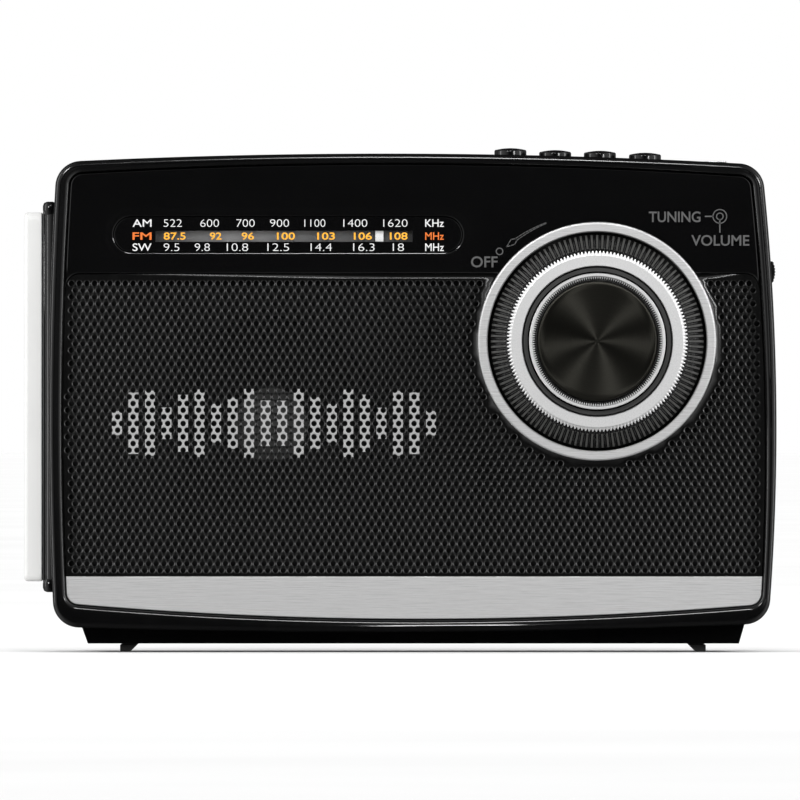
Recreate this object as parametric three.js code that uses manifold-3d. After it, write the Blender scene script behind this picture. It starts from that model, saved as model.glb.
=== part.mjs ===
// A portable shortwave receiver: a bulging black cabinet with a perforated grille, a slide-rule dial,
// a large two-part tuning and volume dial, a side lamp, push buttons, a fold-down handle and a
// telescopic aerial. Millimetres. +X right, +Y to the back, +Z up, origin under the middle.
import * as THREE from "three";
import { mergeVertices } from "three/addons/utils/BufferGeometryUtils.js";
import Module from "manifold-3d";

const wasm = await Module();
wasm.setup();

// ---------------------------------------------------------------- driving dimensions
const GAP = 0.3; // clearance between separate pieces that meet
const HALF_WIDTH = 115; // lamp face to the fullest point of the right side is 230
const HALF_DEPTH = 39; // knob face to back wall is 78
const WALL = 2.5;

// Cabinet outline: sharp corners [x, z], how far each side bulges at its middle, corner radius.
const CASE = {
  corners: [[-105.7, 7.8], [112.6, 8.8], [110.6, 149], [-104.9, 149.8]],
  rise: [2, 3.4, 3, 2],
  radius: 8,
};
// The opening in the front rim that holds the fascia, the grille and the trim bar.
const OPENING = {
  corners: [[-101.9, 14.7], [110.4, 14.4], [107.3, 145.5], [-100.7, 146.3]],
  rise: [4.6, 2.75, 3.4, 1.9],
  radius: 4,
};
const REAR_INSET = 0.9; // the rear half is this much smaller all round than the front half

const RIM_FRONT = -26;
const FASCIA = { front: -25.2, back: -22.4, bottom: 115.8 };
const GRILLE = { front: -24.4, back: -22.9 };
const TRIM = { front: -25, back: -22.4, top: 23.2, inset: 0.8 };
const LEDGE = { y: -22.1, width: 3 };
const BAFFLE = { front: -20.5, back: -18.5 };
const PARTING = -16; // where the front half meets the rear half

// Slide-rule dial
const SCALE = { x: -34.2, z: 127.65, halfLength: 53.4, radius: 5.55 };
const POINTER = { x: -6.3, left: 66.8, right: 8.4, halfWidth: 1.25, bottom: 125.5, top: 128.7 };
const CORD = { y: -14.5, radius: 0.4, topRun: 132 };

// The two-part dial
const DIAL = { x: 60.2, z: 95 };
const RING = { inner: 33.3, outer: 36.5, front: -27.6 };
const SKIRT = { base: 32.6, top: 27.8, front: -35.4 };
const VOLUME_RADIUS = 20.8;
const VOLUME_CAP_RADIUS = 18.3;
const SHAFT = { inner: 3, outer: 4.5, bore: 3.4 };
const DRUM_PITCH = 23.9; // half a turn of the dial carries the pointer 75 mm
const PULLEY_PITCH = 3;
const PULLEYS = { left: -82, right: 84, z: CORD.topRun - PULLEY_PITCH };

const SPEAKER = { x: -39.5, z: 69.5, radius: 36, hole: 33 };
const BUTTONS = { x: [33.8, 47.5, 61.2, 75], top: [154.2, 153.6, 153.4, 152.8], y: -7, radius: 4.9 };
const BAND = { z: 116.3, y: -4, halfHeight: 3.3, travel: 4, inner: 112.9, outer: HALF_WIDTH };
const LAMP = { front: -12, back: 24, bottom: 18.3, top: 137.8, seat: -109.3, lip: 3.3 };
const CELL = { radius: 13.1, length: 50, y: 22, z: 26 };
const BAY = { left: -81, right: 78.5, bottom: 12.4, top: 39.6, front: 8.4, back: 36.6 };
const DOOR = { left: -83.5, right: 83.5, bottom: 10.5, top: 42.5 };
const RECESS = { left: -95, right: 102, front: 3, floor: 142.5, wall: 2.5 };
const HANDLE = { left: -92, right: 99, arm: 9, bar: 10, front: 7, back: 30.5, low: 143.2, high: 149 };
const HINGE = { y: 9.5, z: 146.1, pin: 2, length: 5.7 };
const AERIAL = { x: 97, y: 35.5, z: 147.5, tip: -92 };
const SCREWS = [[-95, 133], [100, 133], [-95, 22], [98, 22]];
const FEET = { height: 2.6, left: -84.2, right: 92.1, front: -8, back: 28, length: 12 };
const SOCKET_X = 88;
const INLET_Z = 62;
const USB_Z = 82;

// ---------------------------------------------------------------- finishes
const finish = (color, roughness, metalness = 0) =>
  new THREE.MeshStandardMaterial({ color, roughness, metalness });
const GLOSS_BLACK = finish(0x0b0b0c, 0.12);
const SATIN_BLACK = finish(0x141416, 0.45);
const GRILLE_BLACK = finish(0x202022, 0.35);
const ALUMINIUM = finish(0xc4c4c2, 0.35, 0.9);
const DARK_SPUN = finish(0x2b2b29, 0.3, 0.8);
const STEEL = finish(0x9a9c9e, 0.4, 1);
const BRASS = finish(0xb08d4a, 0.4, 1);
const WHITE_DIFFUSER = finish(0xf0f0ee, 0.5);
const CLEAR = finish(0x0c0c0c, 0.05);
const RUBBER = finish(0x161616, 0.85);
const CARD = finish(0x1d1b1a, 0.9);
const FERRITE = finish(0x2a2a2c, 0.6, 0.1);
const COPPER = finish(0xa8602c, 0.4, 0.8);
const BOARD_GREEN = finish(0x1f5a35, 0.5);
const CELL_SLEEVE = finish(0x35506f, 0.4, 0.2);
const CORD_WHITE = finish(0xd8d4c8, 0.8);

// ---------------------------------------------------------------- solids
function toSolid(geometry) {
  const flat = geometry.index ? geometry.toNonIndexed() : geometry;
  flat.deleteAttribute("normal");
  flat.deleteAttribute("uv");
  const merged = mergeVertices(flat, 1e-4);
  const corners = merged.index.array;
  const triangles = [];
  for (let i = 0; i < corners.length; i += 3) {
    const [a, b, c] = [corners[i], corners[i + 1], corners[i + 2]];
    if (a !== b && b !== c && c !== a) triangles.push(a, b, c);
  }
  return new wasm.Manifold(
    new wasm.Mesh({
      numProp: 3,
      vertProperties: new Float32Array(merged.attributes.position.array),
      triVerts: new Uint32Array(triangles),
    }),
  );
}

function toGeometry(solid) {
  const mesh = solid.getMesh();
  const geometry = new THREE.BufferGeometry();
  geometry.setAttribute("position", new THREE.BufferAttribute(mesh.vertProperties, 3));
  geometry.setIndex(new THREE.BufferAttribute(mesh.triVerts, 1));
  const faceted = geometry.toNonIndexed();
  faceted.computeVertexNormals();
  return faceted;
}

function box(x0, x1, y0, y1, z0, z1) {
  const geometry = new THREE.BoxGeometry(x1 - x0, y1 - y0, z1 - z0);
  geometry.translate((x0 + x1) / 2, (y0 + y1) / 2, (z0 + z1) / 2);
  return toSolid(geometry);
}

// A round solid about the Y axis from a profile of [radius, y] points; a ring's profile closes.
function turned(profile, segments = 24) {
  const onAxis = profile[0][0] === 0 && profile[profile.length - 1][0] === 0;
  const points = profile.map(([radius, y]) => new THREE.Vector2(radius, y));
  if (!onAxis) points.push(points[0].clone());
  const area = THREE.ShapeUtils.area(points);
  if (area < 0) points.reverse();
  return toSolid(new THREE.LatheGeometry(points, segments));
}

const disc = (radius, y0, y1, segments = 24) =>
  turned([[0, y0], [radius, y0], [radius, y1], [0, y1]], segments);

const ring = (inner, outer, y0, y1, segments = 24) =>
  turned([[inner, y0], [outer, y0], [outer, y1], [inner, y1]], segments);

const QUARTER = 90;
const alongX = (solid) => solid.rotate([0, 0, -QUARTER]); // a solid about Y laid along X
const alongZ = (solid) => solid.rotate([QUARTER, 0, 0]); // a solid about Y stood along Z

// An outline in X and Z pushed along Y from y0 to y1.
function prism(points, y0, y1, bevel = 0) {
  const shape = new THREE.Shape(points.map(([x, z]) => new THREE.Vector2(x, z)));
  const geometry = new THREE.ExtrudeGeometry(shape, {
    depth: y1 - y0 - 2 * bevel,
    bevelEnabled: bevel > 0,
    bevelThickness: bevel,
    bevelSize: bevel,
    bevelOffset: -bevel,
    bevelSegments: 2,
  });
  geometry.rotateX(Math.PI / 2);
  geometry.translate(0, y1 - bevel, 0);
  return toSolid(geometry);
}

// A four-sided outline whose sides bulge and whose corners are true arcs. inset shrinks it.
function bulgedOutline({ corners, rise, radius }, inset = 0) {
  const CORNER_STEPS = 5;
  const SIDE_STEPS = 6;
  const count = corners.length;
  const sharp = corners.map(([x, z], i) => {
    const inX = i === 0 || i === 3 ? inset : -inset;
    const inZ = i < 2 ? inset : -inset;
    return new THREE.Vector2(x + inX, z + inZ);
  });
  const controls = sharp.map((start, i) => {
    const end = sharp[(i + 1) % count];
    const along = end.clone().sub(start);
    const lift = (2 * rise[i]) / (1 + (2 * radius) / along.length());
    const outward = new THREE.Vector2(along.y, -along.x).normalize();
    return start.clone().add(end).multiplyScalar(0.5).addScaledVector(outward, lift);
  });
  const cornerRadius = Math.max(radius - inset, 1);
  const rounds = sharp.map((corner, i) => {
    const arriving = corner.clone().sub(controls[(i + count - 1) % count]).normalize();
    const leaving = controls[i].clone().sub(corner).normalize();
    const turn = Math.acos(arriving.dot(leaving));
    const back = cornerRadius * Math.tan(turn / 2);
    const first = corner.clone().addScaledVector(arriving, -back);
    const centre = first.clone().add(new THREE.Vector2(-arriving.y, arriving.x).multiplyScalar(cornerRadius));
    const angle = Math.atan2(first.y - centre.y, first.x - centre.x);
    return { centre, angle, turn, last: corner.clone().addScaledVector(leaving, back), first };
  });
  const points = [];
  rounds.forEach((round, i) => {
    for (let k = 0; k < CORNER_STEPS; k++) {
      const at = round.angle + (round.turn * k) / CORNER_STEPS;
      const x = round.centre.x + cornerRadius * Math.cos(at);
      const z = round.centre.y + cornerRadius * Math.sin(at);
      points.push([x, z]);
    }
    const side = new THREE.QuadraticBezierCurve(round.last, controls[i], rounds[(i + 1) % count].first);
    for (let k = 0; k < SIDE_STEPS; k++) {
      const point = side.getPoint(k / SIDE_STEPS);
      points.push([point.x, point.y]);
    }
  });
  return points;
}

// A straight-sided outline with round ends, about a centre.
function stadium(x, z, halfLength, radius, steps = 8) {
  const points = [];
  for (const side of [1, -1]) {
    for (let k = 0; k <= steps; k++) {
      const at = (side > 0 ? -Math.PI / 2 : Math.PI / 2) + (Math.PI * k) / steps;
      points.push([x + side * (halfLength - radius) + radius * Math.cos(at), z + radius * Math.sin(at)]);
    }
  }
  return points;
}

// ---------------------------------------------------------------- scene graph
const receiver = new THREE.Group();

function assembly(x = 0, y = 0, z = 0) {
  const group = new THREE.Group();
  group.position.set(x, y, z);
  receiver.add(group);
  return group;
}

function piece(name, solid, material, group = cabinet) {
  const mesh = new THREE.Mesh(toGeometry(solid), material);
  mesh.name = name;
  group.add(mesh);
}

const cabinet = assembly();
const dial = assembly(DIAL.x, 0, DIAL.z);
const speaker = assembly(SPEAKER.x, 0, SPEAKER.z);
const battery = assembly(0, CELL.y, CELL.z);
const aerial = assembly(AERIAL.x, AERIAL.y, AERIAL.z);

// ---------------------------------------------------------------- front half of the cabinet
function frontCase() {
  const FAR = 60;
  const BOSS = { radius: 4, pilot: 1.7, end: 5.7, pilotStart: -4 };
  const POST = { radius: 1.2, end: -12.6 };
  const POINTER_SLOT = { bottom: 129.8, top: 132, room: 0.6 };
  let body = prism(bulgedOutline(CASE), RIM_FRONT, PARTING, 1.2)
    .subtract(prism(bulgedOutline(OPENING), RIM_FRONT - FAR, LEDGE.y))
    .subtract(prism(bulgedOutline(OPENING, LEDGE.width), LEDGE.y - 1, BAFFLE.front))
    .subtract(prism(bulgedOutline(CASE, WALL + REAR_INSET), BAFFLE.back, PARTING + 1))
    .subtract(disc(SPEAKER.hole, BAFFLE.front - 1, BAFFLE.back + 1, 32).translate([SPEAKER.x, 0, SPEAKER.z]));
  for (const [x, z] of SCREWS) {
    body = body
      .add(disc(BOSS.radius, BAFFLE.back - 1, BOSS.end, 16).translate([x, 0, z]))
      .subtract(disc(BOSS.pilot, BOSS.pilotStart, BOSS.end + 1, 12).translate([x, 0, z]));
  }
  for (const x of [PULLEYS.left, PULLEYS.right])
    body = body.add(disc(POST.radius, BAFFLE.back - 1, POST.end, 12).translate([x, 0, PULLEYS.z]));
  const half = POINTER.halfWidth + POINTER_SLOT.room;
  const slot = box(
    POINTER.x - POINTER.left - half,
    POINTER.x + POINTER.right + half,
    BAFFLE.front - 1,
    BAFFLE.back + 1,
    POINTER_SLOT.bottom,
    POINTER_SLOT.top,
  );
  const shaftHole = disc(SHAFT.outer + GAP, BAFFLE.front - 1, BAFFLE.back + 1).translate([DIAL.x, 0, DIAL.z]);
  return body.subtract(slot).subtract(shaftHole);
}

// The part of the front opening between two heights, thick from y0 to y1, clear of the dial ring.
function openingPanel(z0, z1, y0, y1, inset = GAP) {
  const FAR = 200;
  const CUTOUT = RING.inner + 1 + GAP;
  return prism(bulgedOutline(OPENING, inset), y0, y1)
    .intersect(box(-FAR, FAR, y0 - 1, y1 + 1, z0, z1))
    .subtract(disc(CUTOUT, y0 - 1, y1 + 1, 40).translate([DIAL.x, 0, DIAL.z]));
}

function fascia() {
  const TOP = 160;
  const window = prism(
    stadium(SCALE.x, SCALE.z, SCALE.halfLength, SCALE.radius),
    FASCIA.front - 1,
    FASCIA.back + 1,
  );
  return openingPanel(FASCIA.bottom, TOP, FASCIA.front, FASCIA.back).subtract(window);
}

piece("front_case", frontCase(), GLOSS_BLACK);
piece("upper_panel", fascia(), GLOSS_BLACK);
piece(
  "grille_plate",
  openingPanel(TRIM.top + GAP, FASCIA.bottom - GAP, GRILLE.front, GRILLE.back),
  GRILLE_BLACK,
);
piece("trim_bar", openingPanel(0, TRIM.top, TRIM.front, TRIM.back, TRIM.inset), ALUMINIUM);

// ---------------------------------------------------------------- slide-rule dial
function pointer() {
  const { x, halfWidth, bottom } = POINTER;
  const LEG = { bottom: 130.2, top: 131.6, front: -23.2 };
  const CARRIAGE = { half: 3, front: -16.2, back: -12.8, top: 133.4 };
  const blade = box(x - halfWidth, x + halfWidth, LEG.front, LEG.front + 1, bottom, LEG.top);
  const leg = box(x - 1, x + 1, LEG.front, CARRIAGE.front + 1, LEG.bottom, LEG.top);
  const room = CORD.radius + GAP;
  const carriage = box(
    x - CARRIAGE.half,
    x + CARRIAGE.half,
    CARRIAGE.front,
    CARRIAGE.back,
    LEG.bottom,
    CARRIAGE.top,
  ).subtract(
    box(
      x - CARRIAGE.half - 1,
      x + CARRIAGE.half + 1,
      CORD.y - room,
      CARRIAGE.back + 1,
      CORD.topRun - room,
      CORD.topRun + room,
    ),
  );
  return blade.add(leg).add(carriage);
}

const lensOutline = stadium(SCALE.x, SCALE.z, SCALE.halfLength - GAP, SCALE.radius - GAP);
piece("scale_lens", prism(lensOutline, FASCIA.front + 0.2, FASCIA.front + 1.2), CLEAR);
piece("scale_backing", box(-79, 9, -21.8, -20.8, 122.4, 129.5), STEEL);
piece("tuning_pointer", pointer(), WHITE_DIFFUSER);

// The cord is a taut belt round the drum and two pulleys, open at a small tension gap on the drum.
class CordRoute extends THREE.Curve {
  constructor(points) {
    super();
    this.points = points;
  }
  getPoint(t, target = new THREE.Vector3()) {
    const place = Math.min(Math.max(t, 0), 1) * (this.points.length - 1);
    const index = Math.min(Math.floor(place), this.points.length - 2);
    return target.lerpVectors(this.points[index], this.points[index + 1], place - index);
  }
  getUtoTmapping(u) {
    return u;
  }
}

function cordRoute() {
  const ARC_STEP = { drum: 12, pulley: 30 };
  const OPEN_HALF_ANGLE = 3;
  const wheels = [
    { x: DIAL.x, z: DIAL.z, radius: DRUM_PITCH, step: ARC_STEP.drum },
    { x: PULLEYS.right, z: PULLEYS.z, radius: PULLEY_PITCH, step: ARC_STEP.pulley },
    { x: PULLEYS.left, z: PULLEYS.z, radius: PULLEY_PITCH, step: ARC_STEP.pulley },
  ];
  // The outward direction of the run from each wheel to the next, in degrees.
  const facing = wheels.map((wheel, i) => {
    const next = wheels[(i + 1) % wheels.length];
    const distance = Math.hypot(next.x - wheel.x, next.z - wheel.z);
    const heading = Math.atan2(next.z - wheel.z, next.x - wheel.x);
    const lean = Math.acos((wheel.radius - next.radius) / distance);
    return THREE.MathUtils.radToDeg(heading - lean);
  });
  const at = (wheel, degrees) => {
    const angle = THREE.MathUtils.degToRad(degrees);
    return new THREE.Vector3(
      wheel.x + wheel.radius * Math.cos(angle),
      CORD.y,
      wheel.z + wheel.radius * Math.sin(angle),
    );
  };
  const arc = (wheel, from, to) => {
    const steps = Math.max(1, Math.ceil((to - from) / wheel.step));
    return Array.from({ length: steps + 1 }, (_, k) => at(wheel, from + ((to - from) * k) / steps));
  };
  const unwind = (from, to) => to + 360 * Math.ceil((from - to) / 360);
  const [drum, right, left] = wheels;
  const bottom = -90;
  const drumEnd = unwind(bottom, facing[0]);
  const rightEnd = unwind(facing[0], facing[1]);
  const leftEnd = unwind(facing[1], facing[2]);
  const drumStart = facing[2] - 360 * Math.round((facing[2] - bottom) / 360);
  return [
    ...arc(drum, bottom + OPEN_HALF_ANGLE, drumEnd),
    ...arc(right, facing[0], rightEnd),
    ...arc(left, facing[1], leftEnd),
    ...arc(drum, drumStart, bottom - OPEN_HALF_ANGLE),
  ];
}

function dialCord() {
  const SIDES = 8;
  const section = new THREE.Shape(
    Array.from({ length: SIDES }, (_, k) => {
      const angle = (2 * Math.PI * k) / SIDES;
      return new THREE.Vector2(CORD.radius * Math.cos(angle), CORD.radius * Math.sin(angle));
    }),
  );
  const points = cordRoute();
  return toSolid(
    new THREE.ExtrudeGeometry(section, {
      steps: points.length - 1,
      bevelEnabled: false,
      extrudePath: new CordRoute(points),
    }),
  );
}

piece("dial_cord", dialCord(), CORD_WHITE);

// A grooved wheel about its own axis at the cord's plane: groove floor, flange, bore, face offsets.
function groovedWheel(floor, flange, bore, halfThickness, halfGroove, segments) {
  return turned(
    [
      [bore, CORD.y - halfThickness],
      [flange, CORD.y - halfThickness],
      [flange, CORD.y - halfGroove],
      [floor, CORD.y - halfGroove],
      [floor, CORD.y + halfGroove],
      [flange, CORD.y + halfGroove],
      [flange, CORD.y + halfThickness],
      [bore, CORD.y + halfThickness],
    ],
    segments,
  );
}

const CORD_ROOM = CORD.radius + GAP;
for (const side of ["left", "right"]) {
  const group = assembly(PULLEYS[side], 0, PULLEYS.z);
  const wheel = groovedWheel(PULLEY_PITCH - CORD_ROOM, PULLEY_PITCH + 1, 1.5, 1.5, 0.9, 12);
  piece(`pulley_${side}`, wheel, BRASS, group);
}

// ---------------------------------------------------------------- two-part dial
const DIAL_SEGMENTS = 32;
const SLEEVE = RING.inner + 1;
piece(
  "dial_ring",
  turned(
    [
      [RING.inner, RING.front],
      [RING.outer, RING.front],
      [RING.outer, FASCIA.front - GAP],
      [SLEEVE, FASCIA.front - GAP],
      [SLEEVE, BAFFLE.front - GAP],
      [RING.inner, BAFFLE.front - GAP],
    ],
    DIAL_SEGMENTS,
  ),
  ALUMINIUM,
  dial,
);

function tuningKnob() {
  const bore = SHAFT.outer + GAP;
  const well = VOLUME_RADIUS + GAP;
  const WEB = { front: -30, back: -28 };
  const BASE = -21.8;
  const HUB = 8;
  return turned(
    [
      [bore, WEB.front],
      [well, WEB.front],
      [well, SKIRT.front - 0.9],
      [well + 1.5, SKIRT.front - 0.9],
      [well + 1.5, SKIRT.front],
      [SKIRT.top, SKIRT.front],
      [SKIRT.base, -27],
      [SKIRT.base, BASE],
      [SKIRT.base - 1.8, BASE],
      [SKIRT.base - 1.8, -26.6],
      [SKIRT.top - 1.2, WEB.back],
      [HUB, WEB.back],
      [HUB, BASE],
      [bore, BASE],
    ],
    DIAL_SEGMENTS,
  );
}

function volumeKnob() {
  const HUB = 7;
  const bore = SHAFT.inner + GAP;
  return turned(
    [
      [0, -37.4],
      [VOLUME_CAP_RADIUS + GAP, -37.4],
      [VOLUME_CAP_RADIUS + GAP, -38.6],
      [VOLUME_RADIUS - 0.6, -38.6],
      [VOLUME_RADIUS, -38],
      [VOLUME_RADIUS, -31],
      [VOLUME_RADIUS - 1.8, -31],
      [VOLUME_RADIUS - 1.8, -34],
      [HUB, -34],
      [HUB, -30.4],
      [bore, -30.4],
      [bore, -36],
      [0, -36],
    ],
    DIAL_SEGMENTS,
  );
}

function volumeCap() {
  const DISH = 0.5;
  return turned(
    [
      [0, -HALF_DEPTH + DISH],
      [VOLUME_CAP_RADIUS - 1, -HALF_DEPTH],
      [VOLUME_CAP_RADIUS, -HALF_DEPTH + 0.3],
      [VOLUME_CAP_RADIUS, -37.7],
      [0, -37.7],
    ],
    DIAL_SEGMENTS,
  );
}

piece("tuning_knob", tuningKnob(), SATIN_BLACK, dial);
piece("tuning_knob_trim", ring(22.9, 27.6, -36.6, -35.7, DIAL_SEGMENTS), ALUMINIUM, dial);
piece("tuning_shaft", ring(SHAFT.bore, SHAFT.outer, -29.7, -1.2, 20), BRASS, dial);
piece(
  "cord_drum",
  groovedWheel(DRUM_PITCH - CORD_ROOM, DRUM_PITCH + 1.1, SHAFT.outer + GAP, 2, 1, 32),
  SATIN_BLACK,
  dial,
);
piece("volume_knob", volumeKnob(), SATIN_BLACK, dial);
piece("volume_knob_cap", volumeCap(), DARK_SPUN, dial);
piece("volume_shaft", disc(SHAFT.inner, -35.7, 6.4, 16), STEEL, dial);

const TUNER_HALF = 13;
piece(
  "tuning_capacitor",
  box(-TUNER_HALF, TUNER_HALF, -11.8, -2, -TUNER_HALF, TUNER_HALF)
    .subtract(disc(SHAFT.outer + GAP, -12.8, -1, 20)),
  STEEL,
  dial,
);
piece(
  "volume_pot",
  turned(
    [
      [0, 7], [SHAFT.inner + GAP, 7], [SHAFT.inner + GAP, -0.6], [5, -0.6],
      [5, 1.5], [9, 1.5], [9, 10.8], [0, 10.8],
    ],
    16,
  ),
  STEEL,
  dial,
);

// ---------------------------------------------------------------- loudspeaker
piece(
  "speaker_basket",
  turned([
    [33.3, -18.2], [SPEAKER.radius, -18.2], [SPEAKER.radius, -16.8], [34.2, -16.8],
    [19, -3], [7, -3], [7, -4.2], [18.2, -4.2], [33.3, -17.2],
  ]),
  STEEL,
  speaker,
);
piece("speaker_cone", turned([[32.6, -17.9], [32.6, -17.1], [8.5, -5.8], [8.5, -6.6]]), CARD, speaker);
piece(
  "speaker_dust_cap",
  turned([[0, -12.6], [4, -12.1], [8, -10.7], [11.6, -8.7], [0, -8.7]], 24),
  CARD,
  speaker,
);
piece("speaker_magnet", disc(20, -2.7, 7, 24), FERRITE, speaker);

// ---------------------------------------------------------------- rear half of the cabinet
const REAR_START = PARTING + GAP;

function rearCase() {
  const FAR = 200;
  const TUB = 2;
  const outer = prism(bulgedOutline(CASE, REAR_INSET), REAR_START, HALF_DEPTH);
  const inner = prism(bulgedOutline(CASE, REAR_INSET + WALL), REAR_START - 1, HALF_DEPTH - WALL);
  // A tray on top for the folded handle and aerial, open upwards and to the back.
  const trayFront = RECESS.front - RECESS.wall;
  const trayBottom = RECESS.floor - RECESS.wall;
  const tray = box(RECESS.left - 4, RECESS.right + 4, trayFront, HALF_DEPTH, trayBottom, FAR)
    .intersect(outer);
  const trayRoom = box(RECESS.left, RECESS.right, RECESS.front, HALF_DEPTH + 1, RECESS.floor, FAR);
  // The battery bay, open to the back, with a shallow seat for its door.
  const bay = box(
    BAY.left - TUB, BAY.right + TUB, BAY.front - TUB, HALF_DEPTH - 1, BAY.bottom - TUB, BAY.top + TUB,
  ).intersect(outer);
  const bayRoom = box(BAY.left, BAY.right, BAY.front, HALF_DEPTH + 1, BAY.bottom, BAY.top);
  const doorSeat = box(
    DOOR.left - 0.5, DOOR.right + 0.5, BAY.back, HALF_DEPTH + 1, DOOR.bottom - 0.5, DOOR.top + 0.5,
  );
  const doorFrame = box(
    DOOR.left - TUB, DOOR.right + TUB, BAY.back - TUB, HALF_DEPTH - 1, DOOR.bottom - TUB, DOOR.top + TUB,
  ).intersect(outer);
  let body = outer.subtract(inner).add(tray).add(bay).add(doorFrame);
  body = body.subtract(trayRoom).subtract(bayRoom).subtract(doorSeat);
  for (const [x, z] of SCREWS) {
    body = body
      .add(disc(5, 6, HALF_DEPTH - 1, 16).translate([x, 0, z]))
      .subtract(disc(1.7, 5, HALF_DEPTH, 12).translate([x, 0, z]))
      .subtract(disc(3.4, 30, HALF_DEPTH + 1, 16).translate([x, 0, z]));
  }
  for (const x of BUTTONS.x)
    body = body.subtract(alongZ(disc(BUTTONS.radius + 0.4, 145, 160, 20)).translate([x, BUTTONS.y, 0]));
  const pinReach = RECESS.right - RECESS.left + 7.4;
  const pinHole = alongX(disc(HINGE.pin + GAP, -pinReach / 2, pinReach / 2, 16))
    .translate([(RECESS.left + RECESS.right) / 2, HINGE.y, HINGE.z]);
  const aerialWay = box(-120, RECESS.left + 1, 31.8, HALF_DEPTH + 1, AERIAL.z - 3.5, FAR);
  const stubHole = alongZ(disc(3.8, 138, 144, 16)).translate([AERIAL.x, AERIAL.y, 0]);
  const slotReach = BAND.travel + 1.6;
  const slot = box(105, 116, BAND.y - 1.8, BAND.y + 1.8, BAND.z - slotReach, BAND.z + slotReach);
  const seatReach = BAND.travel + BAND.halfHeight + 0.6;
  const seat = box(BAND.inner - 0.4, 116, BAND.y - 4.5, BAND.y + 4.5, BAND.z - seatReach, BAND.z + seatReach);
  const inlet = box(SOCKET_X - 9.8, SOCKET_X + 9.8, 35, HALF_DEPTH + 1, INLET_Z - 6.3, INLET_Z + 6.3);
  const usb = box(SOCKET_X - 7.5, SOCKET_X + 7.5, 35, HALF_DEPTH + 1, USB_Z - 3.9, USB_Z + 3.9);
  const cuts = [pinHole, aerialWay, stubHole, slot, seat, inlet, usb];
  return cuts.reduce((left, cut) => left.subtract(cut), body);
}

piece("rear_case", rearCase(), SATIN_BLACK);

function plinth() {
  const SIDES = [[-95.5, 2.6], [103.7, 2.6], [105.7, 9.5], [-98, 9.5]];
  const clear = prism(bulgedOutline(CASE, REAR_INSET - GAP), -20, HALF_DEPTH);
  return prism(SIDES, -13, 33).subtract(clear);
}

piece("base_plinth", plinth(), SATIN_BLACK);

// A foot is a small wedge whose inner side slopes in to the plinth.
function foot(side) {
  const HALF_TIP = 1.5;
  const top = FEET.height - GAP;
  const outline = [[-HALF_TIP, 0], [HALF_TIP, 0], [HALF_TIP, top], [-HALF_TIP, top]];
  const inward = side === "left" ? 2 : 3;
  outline[inward][0] += side === "left" ? 2.4 : -2.4;
  return prism(outline, 0, FEET.length);
}

for (const side of ["left", "right"])
  for (const end of ["front", "back"]) {
    const group = assembly(FEET[side], FEET[end] - (end === "back" ? FEET.length : 0), 0);
    piece(`foot_${end}_${side}`, foot(side), RUBBER, group);
  }

SCREWS.forEach(([x, z], index) => {
  const group = assembly(x, 0, z);
  const screw = turned([[0, 0.4], [1.4, 0.4], [1.4, 30.4], [3, 31], [3, 33], [0, 33]], 12);
  piece(`case_screw_${index + 1}`, screw, STEEL, group);
});

// ---------------------------------------------------------------- battery bay
piece(
  "battery_door",
  box(DOOR.left, DOOR.right, BAY.back + GAP, HALF_DEPTH, DOOR.bottom, DOOR.top),
  SATIN_BLACK,
);

const FIRST_CELL = -74.9;
for (let i = 0; i < 3; i++) {
  const NUB = 1.5;
  const { radius, length } = CELL;
  const shoulder = length - NUB;
  const cell = turned([[0, 0], [radius, 0], [radius, shoulder], [3, shoulder], [3, length], [0, length]], 20);
  const group = new THREE.Group();
  group.position.x = FIRST_CELL + i * (length + GAP);
  battery.add(group);
  piece(`battery_cell_${i + 1}`, alongX(cell), CELL_SLEEVE, group);
}
piece("battery_contact", box(76.1, 77, -8, 8, -8, 8), STEEL, battery);

function contactSpring() {
  const TURNS = 3;
  const STEPS = 27;
  const WIRE = 0.5;
  class Cone extends THREE.Curve {
    getPoint(t, target = new THREE.Vector3()) {
      const angle = 2 * Math.PI * TURNS * t;
      const radius = 7 - 4 * t;
      return target.set(4 * t, radius * Math.cos(angle), radius * Math.sin(angle));
    }
  }
  const section = new THREE.Shape();
  section.absarc(0, 0, WIRE, 0, 2 * Math.PI);
  const options = { steps: STEPS, curveSegments: 3, bevelEnabled: false, extrudePath: new Cone() };
  return toSolid(new THREE.ExtrudeGeometry(section, options));
}

piece("battery_spring", contactSpring().translate([-80, 0, 0]), STEEL, battery);

// ---------------------------------------------------------------- electronics
piece("main_board", box(-15, 92, 11.2, 12.8, 46, 136), BOARD_GREEN);
piece("ferrite_rod", alongX(disc(4.5, -86, -20, 12)).translate([0, 6, 133]), FERRITE);
piece("ferrite_coil", alongX(ring(4.8, 6.2, -62, -40, 12)).translate([0, 6, 133]), COPPER);

function buttonBoard() {
  let board = box(26, 82, -13, -1, 137.5, 139);
  const keySwitch = alongZ(disc(3, 138.5, 142.2, 10));
  for (const x of BUTTONS.x) board = board.add(keySwitch.translate([x, BUTTONS.y, 0]));
  return board;
}

piece("button_board", buttonBoard(), BOARD_GREEN);

BUTTONS.x.forEach((x, index) => {
  const { radius } = BUTTONS;
  const cap = turned([
    [0, 0], [2.6, -0.15], [3.9, -0.55], [radius, -1.5], [radius, -6.5], [2.4, -6.5], [2.4, -8.4], [0, -8.4],
  ], 16);
  const group = assembly(x, BUTTONS.y, BUTTONS.top[index]);
  piece(`push_button_${index + 1}`, alongZ(cap), GLOSS_BLACK, group);
});

function bandSlider() {
  const { y, z, halfHeight, inner, outer } = BAND;
  const cap = box(inner, outer, y - 4, y + 4, z - halfHeight, z + halfHeight);
  return cap.add(box(106, inner + 1, y - 1.5, y + 1.5, z - 1.3, z + 1.3));
}

piece("band_slider", bandSlider(), SATIN_BLACK);
piece("band_switch", box(99.5, 105.6, BAND.y - 4, BAND.y + 4, 108, 124.6), STEEL);

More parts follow.
